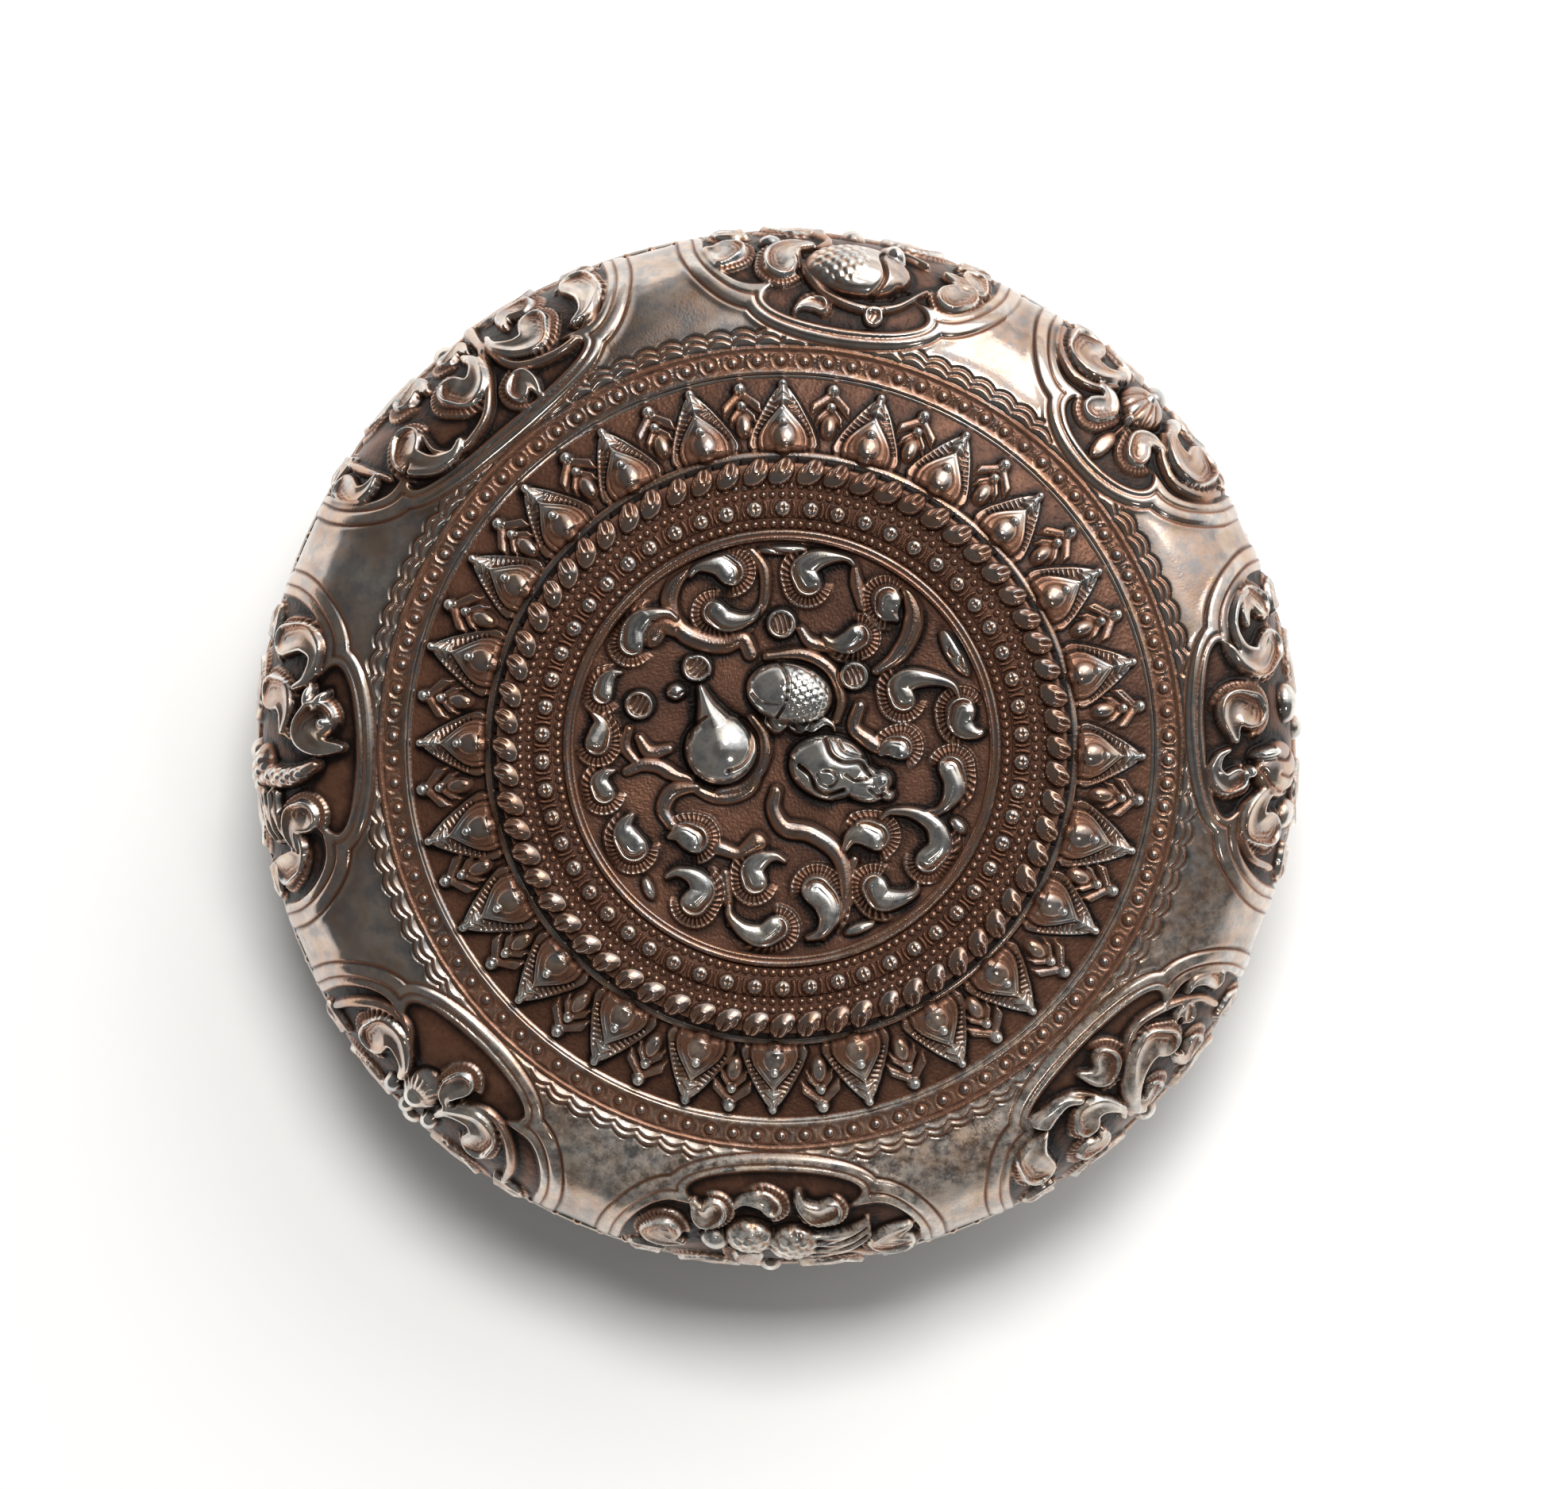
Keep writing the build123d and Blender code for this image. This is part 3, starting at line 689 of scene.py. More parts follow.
# Lid shoulder: cartouches, scallops and the pearl band
# Each cartouche: angle, half width at the rim, half width at the cusps.
CARTOUCHES = (
    (8.5, 18.8, 11.8),
    (47.3, 15.4, 9.0),
    (87.8, 19.8, 12.4),
    (134.7, 19.8, 13.0),
    (181.0, 18.9, 12.4),
    (225.3, 18.3, 11.6),
    (269.9, 19.2, 12.0),
    (319.7, 21.8, 15.4),
)
LOBE_TOP = 26.9
CUSP_UP = 23.2
SIDE_TOP = 22.9
LOBE_DEEP = 1.6  # middle of the lobe's oval below the cusps
LOBE_WIDE = 1.05  # its half width, in half widths at the cusps
EAR_TALL = 11.0  # height of the side lobes' oval corner
FRAME_STEP = 1.5  # outer line to middle line
FRAME_INNER = 2.75  # outer line to the edge of the ground
FRAME_LIFT = 0.35
FRAME_CUT = 0.24  # depth of the lines along it
GROUND_DEPTH = 0.1


def shoulder_profile(up):
    """Radius, height and outward direction of the lid's outer face, some way up it from the rim."""
    angle = np.clip((up - WALL) / ARC, 0, math.pi / 2)
    flat = np.clip(up - SHOULDER_TOP, 0, None)
    below = np.clip(WALL - up, 0, None)
    r = CREST_R + ARC * np.cos(angle) - flat
    z = SPRING + ARC * np.sin(angle) - below
    return r, z, np.cos(angle), np.sin(angle)


def frame_distance(along, up, half, cusp):
    """Rough signed distance to a cartouche's lobed outline, below 0 inside."""
    wide = LOBE_WIDE * cusp
    middle = CUSP_UP - LOBE_DEEP
    tall = LOBE_TOP - middle
    u = along / wide
    v = (up - middle) / tall
    lobe = (u**2 + v**2 - 1) / (2 * np.hypot(u / wide, v / tall) + 1e-3)
    ear_wide = half - cusp + 0.9
    dx = np.clip(np.abs(along) - (half - ear_wide), 0, None) / ear_wide
    dy = np.clip(up - (SIDE_TOP - EAR_TALL), 0, None) / EAR_TALL
    side = (dx**2 + dy**2 - 1) / (2 * np.hypot(dx / ear_wide, dy / EAR_TALL) + 0.05)
    return np.minimum(lobe, side)


# Motifs of the cartouches, at places read off the photograph; below about 11 mm up they are guessed.
def bird_by_shell(w):
    w.stem([(-5.6, 13.0), (-4.9, 17.6), (-2.2, 20.9), (2.2, 22.2), (6.4, 21.2), (9.4, 18.0)],
           [0.4, 0.6, 0.6, 0.3], 0.9)
    w.dome(1.2, 17.0, 6.2, 3.9, -4, 2.3, 0.5, 0.55)
    w.scales(-0.9, 16.8, 3.3, 3.4, 8, 1.15, 0.34)
    w.groove([(3.3, 20.6), (4.4, 18.4), (3.6, 15.8), (4.2, 13.6)], 0.26, 0.6)
    w.groove([(5.6, 20.2), (6.2, 18.8), (7.4, 18.6)], 0.22, 0.5)
    w.dome(5.0, 14.4, 1.6, 1.1, 30, 2.5, 0.5, 0.7)
    w.comma([(-2.7, 22.4), (-3.6, 22.3), (-5.2, 22.8)], 0.95, 1.1, 0.5)
    w.bud(4.0, 22.9, 1.15, 1.0, 20)
    w.comma([(-7.4, 17.3), (-7.3, 15.6), (-6.2, 14.2)], 2.0, 1.8, 0.7)
    w.comma([(-12.9, 14.6), (-14.2, 15.2), (-15.6, 14.4)], 1.9, 1.7, 0.7)
    w.comma([(12.4, 17.8), (13.4, 16.4), (12.8, 15.0)], 1.9, 1.7, 0.6)
    w.comma([(14.0, 12.4), (14.4, 14.2), (13.0, 15.0)], 1.4, 1.5, 0.5)
    w.dome(-8.4, 12.3, 1.3, 1.0, 0, 1.1)
    w.stem([(-3.0, 14.0), (-2.2, 11.5), (-4.0, 8.5)], [0.7, 0.5, 0.3], 0.9)
    w.stem([(3.4, 14.2), (4.6, 11.6), (8.8, 13.2)], [0.7, 0.5, 0.3], 0.9)


def twin_flower(w):
    w.dome(-0.1, 22.6, 2.1, 1.05, 90, 0.5, 0.2, 0.4)
    w.stem([(0, 20.4), (0.0, 18.6)], [0.25, 0.3], 0.5)
    w.comma([(-3.7, 20.2), (-2.9, 18.8), (-3.6, 17.6)], 1.6, 1.6, 0.8)
    w.comma([(3.3, 20.2), (2.6, 18.8), (3.4, 17.6)], 1.6, 1.6, 0.8)
    w.stem([(-12.0, 12.5), (-11.4, 16.0), (-8.6, 18.4), (-5.4, 17.8), (-3.6, 15.4)],
           [0.5, 0.8, 0.7, 0.4], 0.9)
    w.stem([(12.3, 12.5), (11.6, 16.0), (8.9, 18.4), (5.6, 17.8), (3.6, 15.4)], [0.5, 0.8, 0.7, 0.4], 0.9)
    w.comma([(-9.0, 12.6), (-8.8, 15.0), (-7.0, 16.0), (-5.0, 15.2)], 2.2, 2.0, 0.5)
    w.comma([(8.8, 12.6), (8.7, 15.0), (7.0, 16.0), (4.8, 15.2)], 2.2, 2.0, 0.5)
    w.dome(-0.1, 14.9, 3.4, 2.9, 90, 1.9, 0.5, 0.46)
    w.rays(-0.1, 13.2, 1.2, 4.4, 4.4, range(-40, 41, 20), 0.16, 0.35)
    w.dome(-0.1, 14.0, 1.1, 1.0, 0, 2.3, 0.5, 0.6)
    w.dome(-0.1, 18.2, 0.6, 0.6, 0, 1.7, 0.5, 0.9)
    w.dome(-3.9, 12.0, 1.4, 1.0, 70, 1.3)
    w.dome(3.7, 12.0, 1.4, 1.0, 110, 1.3)


def curled_beast(w):
    w.comma([(2.0, 20.9), (2.6, 22.4), (1.2, 23.6), (-0.6, 23.2)], 1.35, 1.5, 0.5)
    w.comma([(-6.2, 19.4), (-6.6, 21.0), (-5.2, 21.8)], 2.3, 1.9, 0.8)
    w.stem([(-8.6, 21.5), (-9.0, 19.0), (-7.6, 16.9), (-4.8, 16.8), (-3.2, 19.0)], [0.4, 0.6, 0.6, 0.35], 0.7)
    w.comma([(-12.8, 14.3), (-11.4, 16.8), (-12.6, 19.4), (-15.8, 20.0), (-18.6, 18.2)], 1.9, 1.8, 0.5)
    w.comma([(-17.6, 14.2), (-18.6, 15.8), (-17.4, 17.2)], 1.6, 1.5, 0.6)
    w.dome(0.6, 14.9, 3.9, 3.3, 80, 2.0, 0.5, 0.5)
    w.groove([(2.2, 11.8), (2.9, 14.2), (2.2, 16.6), (0.8, 17.8)], 0.22, 0.5)
    w.groove([(0.0, 12.0), (1.2, 13.6), (1.0, 15.6)], 0.2, 0.45)
    w.groove([(-1.6, 13.0), (-0.6, 14.4), (-0.6, 16.0)], 0.2, 0.45)
    w.dome(-1.2, 17.0, 2.1, 0.8, 80, 2.3, 0.5, 0.9)
    w.dome(1.0, 19.2, 0.9, 0.8, 0, 1.6, 0.5, 0.7)
    w.comma([(7.2, 15.6), (7.0, 17.8), (5.0, 18.0), (3.2, 16.6)], 2.0, 1.8, 0.7)
    w.stem([(3.0, 17.5), (5.2, 19.6), (8.2, 19.4), (10.6, 17.0), (11.2, 13.0)], [0.35, 0.6, 0.6, 0.5], 0.8)
    w.dome(-6.6, 11.6, 2.2, 1.6, 0, 1.5)
    w.dome(5.2, 11.4, 1.8, 1.5, 30, 1.3)


def rim_branch(w):
    w.comma([(-0.9, 21.6), (0.2, 20.9), (1.4, 21.2)], 1.75, 1.6, 0.8)
    w.comma([(-7.2, 17.3), (-6.0, 18.7), (-3.6, 18.6), (-1.2, 16.8), (0.4, 13.6)], 1.8, 1.8, 0.4)
    w.comma([(-11.0, 16.6), (-11.6, 17.4), (-10.4, 18.0)], 0.95, 1.2, 0.3)
    w.stem([(-13.6, 13.0), (-13.2, 16.5), (-10.8, 19.6), (-6.8, 21.6), (-3.4, 20.6),
            (0.6, 16.0), (1.2, 12.5)], [0.5, 0.6, 0.7, 0.5], 0.8)
    w.comma([(5.6, 17.1), (4.6, 18.3), (2.8, 17.8), (1.6, 15.4)], 1.5, 1.7, 0.5)
    w.comma([(12.9, 15.6), (12.6, 18.4), (10.4, 20.8), (6.4, 21.5)], 2.0, 1.9, 0.6)
    w.stem([(2.4, 19.0), (5.0, 21.6), (9.6, 21.4), (13.8, 19.4), (15.2, 15.5)], [0.3, 0.5, 0.5, 0.4], 0.7)
    w.comma([(-16.0, 15.6), (-15.6, 17.2), (-14.4, 18.4)], 1.2, 1.2, 0.4)
    w.comma([(-8.8, 12.4), (-7.6, 11.8), (-6.8, 12.6)], 1.4, 1.4, 0.7)
    w.comma([(-2.4, 12.9), (-1.4, 12.2), (-0.6, 12.8)], 1.3, 1.3, 0.7)
    w.comma([(7.0, 12.8), (6.0, 12.0), (5.0, 12.8)], 1.5, 1.4, 0.8)


def scaled_runner(w):
    w.dome(-2.2, 14.8, 3.0, 2.9, 0, 1.8, 0.5, 0.45)
    w.dome(2.6, 16.0, 2.9, 2.5, 20, 1.9, 0.5, 0.45)
    w.scales(-2.4, 14.9, 2.8, 2.8, 70, 1.3, 0.45)
    w.scales(2.4, 16.0, 2.8, 2.4, 20, 1.3, 0.45)
    w.wing((-4.6, 12.8), (-7.2, 13.0), (-10.4, 15.0), 1.4, 0.75)
    w.comma([(-6.5, 19.6), (-5.0, 19.4), (-3.2, 20.8)], 1.5, 1.6, 0.5)
    w.comma([(0.2, 20.6), (1.4, 21.4), (3.6, 21.3)], 1.2, 1.4, 0.8)
    w.comma([(6.9, 19.4), (7.6, 18.4), (8.6, 18.8)], 1.6, 1.7, 0.6)
    w.comma([(12.0, 15.4), (12.8, 14.2), (11.8, 13.4)], 1.9, 1.7, 0.7)
    w.dome(6.4, 15.0, 1.8, 1.5, 40, 1.5)
    w.comma([(-13.4, 12.2), (-12.2, 13.2), (-13.0, 14.6)], 2.0, 1.7, 0.8)
    w.comma([(2.5, 12.0), (2.5, 10.4), (2.4, 9.0)], 1.6, 1.5, 1.0)
    w.stem([(-10.6, 9.5), (-8.4, 12.2), (-5.0, 11.2)], [0.4, 0.7, 0.4], 0.8)


def fan_flower(w):
    w.comma([(-2.2, 20.2), (-1.8, 18.8), (-1.9, 17.4)], 1.5, 1.6, 0.8)
    w.stem([(-3.9, 17.2), (-3.4, 19.2)], [0.4, 0.3], 0.6)
    w.dome(0.5, 15.0, 3.6, 2.4, 90, 1.2)
    w.dome(0.5, 13.6, 1.5, 1.5, 0, 1.8)
    w.rays(0.5, 13.6, 1.6, 3.2, 3.4, range(-56, 57, 14), 0.14, 0.3)
    w.comma([(-7.9, 14.8), (-7.8, 16.8), (-5.8, 17.8), (-3.2, 16.2)], 1.8, 1.8, 0.5)
    w.comma([(8.2, 15.0), (8.0, 17.0), (6.2, 17.8), (3.8, 16.4)], 1.9, 1.8, 0.9)
    w.stem([(-12.6, 11.0), (-12.2, 15.0), (-10.0, 18.4), (-6.6, 19.6), (-3.4, 17.8)],
           [0.5, 0.7, 0.6, 0.3], 0.8)
    w.stem([(13.2, 11.0), (12.6, 15.0), (10.6, 18.6), (7.2, 19.9), (4.0, 17.8)], [0.5, 0.7, 0.6, 0.3], 0.8)
    w.dome(-2.4, 11.2, 1.5, 1.1, 90, 1.4)
    w.dome(3.1, 11.2, 1.5, 1.1, 90, 1.4)
    w.dome(0.5, 10.2, 1.6, 1.0, 90, 1.5)


def long_neck(w):
    w.dome(-3.2, 11.0, 3.1, 2.3, 15, 1.8, 0.5, 0.42)
    w.stem([(-2.8, 20.0), (-3.8, 17.6), (-4.0, 15.2), (-3.6, 12.2)], [0.8, 1.15, 1.3, 1.5], 1.5)
    w.scales(-3.2, 11.0, 2.9, 2.2, 100, 1.25, 0.5)
    w.scales(-3.9, 16.2, 3.6, 1.4, 88, 1.05, 0.45)
    w.wing((-5.8, 10.6), (-8.0, 10.8), (-10.6, 12.6), 1.3, 0.7)
    w.comma([(2.6, 20.2), (1.0, 19.0), (-0.6, 20.6)], 2.3, 2.0, 0.3)
    w.dome(2.2, 21.3, 0.9, 0.9, 0, 2.2)
    w.dome(4.7, 20.4, 1.7, 0.7, 35, 1.8)
    w.dome(4.9, 18.9, 1.8, 0.7, 5, 1.7)
    w.comma([(-8.5, 18.0), (-8.8, 16.2), (-10.2, 15.6)], 1.9, 1.8, 0.7)
    w.comma([(-13.9, 13.0), (-13.2, 15.2), (-12.2, 16.4)], 1.7, 1.6, 0.6)
    w.comma([(10.9, 13.9), (11.4, 17.0), (9.8, 19.2), (7.0, 18.4)], 1.8, 1.8, 0.6)
    w.comma([(5.2, 12.4), (4.8, 14.6), (3.0, 15.6)], 1.9, 1.6, 0.6)
    w.stem([(0.4, 16.6), (1.4, 15.2), (2.6, 14.6)], [0.5, 0.7, 0.4], 0.9)


def split_vine(w):
    w.stem([(2.4, 3.0), (2.3, 10.0), (2.2, 15.5)], [1.0, 0.8, 0.6], 1.2)
    w.stem([(2.2, 14.5), (0.6, 19.2), (-2.4, 22.6), (-7.2, 23.4), (-9.6, 21.4), (-9.2, 18.6)],
           [0.6, 0.7, 0.6, 0.35], 1.0)
    w.stem([(2.4, 14.5), (4.0, 19.6), (8.2, 21.3), (12.6, 20.6), (15.6, 17.4), (16.6, 12.5)],
           [0.6, 0.7, 0.6, 0.4], 1.0)
    w.comma([(-11.0, 17.6), (-12.4, 19.2), (-11.2, 22.0), (-8.6, 23.2)], 1.9, 1.8, 0.6)
    w.comma([(-3.3, 17.4), (-2.2, 18.9), (-0.4, 18.4), (0.6, 16.2)], 1.9, 1.8, 0.9)
    w.comma([(8.4, 16.3), (7.4, 18.2), (5.2, 18.0), (3.4, 16.0)], 1.8, 1.8, 0.9)
    w.comma([(2.7, 22.5), (3.8, 21.8), (4.6, 22.8)], 1.5, 1.5, 0.7)
    w.comma([(-19.0, 13.0), (-19.2, 15.4), (-17.8, 16.8)], 1.7, 1.6, 0.4)
    w.stem([(-16.4, 9.0), (-16.2, 14.0), (-15.4, 18.6)], [0.5, 0.6, 0.4], 0.8)
    w.comma([(14.6, 12.6), (15.2, 15.4), (14.2, 18.0)], 1.9, 1.7, 0.6)
    w.comma([(-7.4, 11.8), (-6.2, 11.2), (-5.4, 12.0)], 1.7, 1.6, 0.9)
    w.comma([(-1.2, 11.4), (-0.2, 10.8), (0.6, 11.6)], 1.4, 1.4, 0.8)
    w.comma([(8.0, 11.6), (7.0, 10.8), (6.0, 11.6)], 1.7, 1.6, 0.9)


def wall_leaves(w, half):
    """Leaves on the upright wall, which the photograph doesn't show."""
    far = half - FRAME_INNER - 3.0
    for side in (-1, 1):
        w.comma([(side * 0.62 * far, 6.6), (side * 0.45 * far, 8.0), (side * 0.3 * far, 7.0)], 1.7, 1.4, 0.6)
        w.comma([(side * far, 7.4), (side * (far + 0.8), 9.0), (side * far, 10.0)], 1.5, 1.3, 0.5)
        w.stem([(side * 0.9, 3.6), (side * 0.4 * far, 4.6), (side * 0.9 * far, 4.4)], [0.6, 0.5, 0.3], 0.8)
    w.dome(0, 5.6, 2.0, 1.4, 90, 1.4)


MOTIFS = (
    bird_by_shell, twin_flower, curled_beast, rim_branch, scaled_runner, fan_flower, long_neck, split_vine,
)
# Angles that the motifs' places were read from
READ_ANGLES = (8.0, 47.0, 92.0, 135.0, 181.0, 226.0, 271.0, 321.0)
SHOULDER_HAND = dict(ground_shine=0.14, leaf_grow=1.1, leaf_shine=0.62, stem_grow=1.0, hollow=0.85, tail=1.0)
SCALLOPS = 104
SCALLOP_ROWS = (26.75, 26.0)
SCALLOP_DROP = 0.62
CREST_LINES = ((27.2, 0.2), (27.8, 0.16))  # height up the sheet, and depth
CREST_WIRE = 27.5
PEARLS = 102
PEARL_IN = 1.5  # pearls' middles to the band's inner edge
PEARL_RING = PETAL_OUT + PEARL_IN
PEARL_UP = SHOULDER_TOP + CREST_R - PETAL_OUT - PEARL_IN
PLAIN_SHINE = 0.6
PEARL_BAND_SHINE = 0.34
FINE_COLUMNS = 2160  # steps round the lid of the finest work
# how strongly hollows in the shoulder are darkened, partly as soiling and partly as painted shade
SHOULDER_GRIME_AND_SHADE = 3.2
WALL_ROWS_END = 9.0  # the rows are wider apart below this


def work_cartouche(cartouche, motif, read, up, turn, height, shine, outside):
    """Frame, ground and motif of one cartouche; outside keeps the distance to the nearest frame."""
    angle, half, cusp = cartouche
    centre = math.radians(angle)
    delta = (turn - centre + math.pi) % (2 * math.pi) - math.pi
    columns = np.flatnonzero(np.abs(delta[0]) * REF_R < half + 3)
    along = delta[:, columns] * REF_R
    at_up = up[:, columns]
    d = frame_distance(along, at_up, half, cusp)
    outside[:, columns] = np.minimum(outside[:, columns], d)
    foot = ramp(1.6, 2.4, at_up)
    lines = ridge(d, 0.13) + ridge(d + FRAME_STEP, 0.13) + ridge(d + FRAME_INNER, 0.15)
    raised = ramp(1.0, -1.0, d)
    ground = ramp(-FRAME_INNER + 0.1, -FRAME_INNER - 0.25, d)
    band = FRAME_LIFT * raised * (1 - ground) - FRAME_CUT * lines - GROUND_DEPTH * ground
    motif_along = (delta[:, columns] + centre - math.radians(read)) * REF_R
    work = Relief(motif_along.ravel(), at_up.ravel(), **SHOULDER_HAND)
    motif(work)
    # the wall's leaves are centred on the cartouche itself
    work.x = along.ravel()
    wall_leaves(work, half)
    inside = ramp(-FRAME_INNER + 0.3, -FRAME_INNER - 0.1, d) * foot
    height[:, columns] += band * foot + work.h.reshape(at_up.shape) * inside
    plain = PLAIN_SHINE - 0.5 * np.clip(lines, 0, 1) * foot
    shine[:, columns] = np.where(np.abs(d) < 4, plain, shine[:, columns])
    shine[:, columns] = shine[:, columns] * (1 - inside) + work.shine.reshape(at_up.shape) * inside


def work_scallops(up, turn, height, shine, outside):
    """Scallops in two rows between the cartouches."""
    phase = (turn * SCALLOPS / (2 * math.pi)) % 1 - 0.5
    clear = ramp(0.25, 0.6, outside)
    for level in SCALLOP_ROWS:
        line = up - (level - SCALLOP_DROP * (1 - (2 * phase) ** 2))
        lip = ramp(-0.08, 0.12, line) - ramp(0.3, 0.75, line)
        # the groove under each lip loses polish, partly as patina in the groove and partly as painted shadow
        # under the lip
        dark = ridge(line + 0.1, 0.16)
        height += clear * (0.2 * lip - 0.2 * dark)
        shine -= clear * 0.4 * dark


def work_crest(up, turn, height, shine):
    """Lines round the crest, the copper-coloured pearl band with its lip, and a ring round each pearl."""
    band = ramp(27.0, 27.5, up)
    shine[:] = shine * (1 - band) + PEARL_BAND_SHINE * band
    for level, depth in CREST_LINES:
        height -= depth * ridge(up - level, 0.15)
        shine -= 0.25 * ridge(up - level, 0.15)
    height += 0.2 * ridge(up - CREST_WIRE, 0.17)
    edge = ridge(up - (SHOULDER_END - 0.14), 0.16)
    height += 0.3 * edge
    shine += 0.3 * edge
    across = ((turn * PEARLS / (2 * math.pi) + 0.5) % 1 - 0.5) * 2 * math.pi * PEARL_RING / PEARLS
    spot = np.hypot(across, up - PEARL_UP)
    ring = ridge(spot - 1.02, 0.15)
    moat = ridge(spot - 0.76, 0.13)
    height += 0.06 * ring - 0.1 * moat
    shine += 0.1 * ring - 0.12 * moat


def shoulder_heights(up, turn):
    """Relief of the shoulder over a grid, and how polished each place is."""
    height = np.zeros_like(up)
    shine = np.full(up.shape, PLAIN_SHINE)
    outside = np.full(up.shape, 9.0)
    for cartouche, motif, read in zip(CARTOUCHES, MOTIFS, READ_ANGLES):
        work_cartouche(cartouche, motif, read, up, turn, height, shine, outside)
    work_scallops(up, turn, height, shine, outside)
    work_crest(up, turn, height, shine)
    # hand-raised sheet is never quite round or even
    height += 0.06 * np.sin(3 * turn + 1) + 0.05 * np.sin(5 * turn + 2.2)
    height -= 0.3 * np.cos(turn) ** 2 * ramp(24.0, 10.0, up)
    height += 0.02 * np.sin(23 * turn + 0.8 * up) * np.sin(0.55 * up + 9 * turn)
    return height + 0.018 * stipple(up.shape) * ramp(0.25, 0.1, shine), shine


def make_shoulder():
    rows_low = np.linspace(0, WALL_ROWS_END, 40, endpoint=False)
    rows_high = np.linspace(WALL_ROWS_END, SHOULDER_END, 142)
    up_rows = np.concatenate([rows_low, rows_high])
    turn_row = whole_turn(FINE_COLUMNS)
    up, turn = np.meshgrid(up_rows, turn_row, indexing="ij")
    height, shine = shoulder_heights(up, turn)
    height = blurred(height, 1, True)
    polish = polish_of(shine, height, 5, True)
    grime_and_shade = grime_and_shade_of(height, 5, True, SHOULDER_GRIME_AND_SHADE)
    r, z, out, rise = shoulder_profile(up)
    outer = on_circle(r + height * out, z + height * rise, turn)
    back_rows = np.linspace(SHOULDER_END, 0, 22)
    back_up, back_turn = np.meshgrid(back_rows, turn_row, indexing="ij")
    r, z, out, rise = shoulder_profile(back_up)
    inner = on_circle(r - SHEET * out, z - SHEET * rise, back_turn)
    points = np.concatenate([outer, inner]).reshape(-1, 3)
    rows = len(up_rows) + len(back_rows)
    piece = add_piece(
        "lid_shoulder_worked",
        points,
        [ring_faces(rows, FINE_COLUMNS, True)],
        SHOULDER_SILVER,
        with_back(polish, back_up.size, 0.4),
        ring_uv(rows, FINE_COLUMNS, True, RING_STRIPS),
        with_back(grime_and_shade, back_up.size, 1.0),
    )
    declare(piece, "lid", "lid_shoulder")


# Petal band
PETALS = 24
PETAL_TURN = math.radians(1.0)
PETAL_STRIPS = 4
PETAL_GROUND_SHINE = 0.16
SLOPE = math.hypot(PETAL_OUT - PETAL_IN, MARGIN - PETAL_EDGE)
# corners of the band's hidden back, from the drum out to the shoulder
PETAL_BACK = (
    (DRUM_R, MARGIN - SHEET),
    (PETAL_IN, MARGIN - SHEET),
    (PETAL_OUT, CREST - 2 * SHEET),
    (CREST_R, CREST - 2 * SHEET),
    (CREST_R, CREST - SHEET),
    (PETAL_OUT, CREST - SHEET),
)
# half widths of a petal and of the leaf within it, at places out from the margin
PETAL_AT = (-0.3, 0.0, 0.6, 1.2, 2.5, 4.0, 5.5, 6.8, 7.8)
PETAL_HALF = (3.2, 3.5, 3.8, 3.78, 3.35, 2.65, 1.85, 1.0, 0.2)
LEAF_AT = (-0.3, 0.5, 1.3, 2.2, 3.1, 4.0, 4.7, 5.3)
LEAF_HALF = (2.55, 2.75, 2.75, 2.45, 1.85, 1.1, 0.5, 0.05)


class Band:
    """Heights and shine over a grid, built up shape by shape."""

    def __init__(self, shape, shine):
        self.h = np.zeros(shape)
        self.shine = np.full(shape, shine)

    def put(self, height, shine, where):
        up = where & (height > self.h)
        self.h = np.where(up, height, self.h)
        self.shine = np.where(up, shine, self.shine)

    def add(self, amount, shine):
        self.h = self.h + amount
        self.shine = self.shine + shine

    def boss(self, u, v, half, long, foot, rise, shine):
        top = np.clip(1 - (u / half) ** 2 - (v / long) ** 2, 0, 1)
        self.put(foot + rise * np.sqrt(top), shine - 0.3 + 0.4 * np.sqrt(top), top > 0)


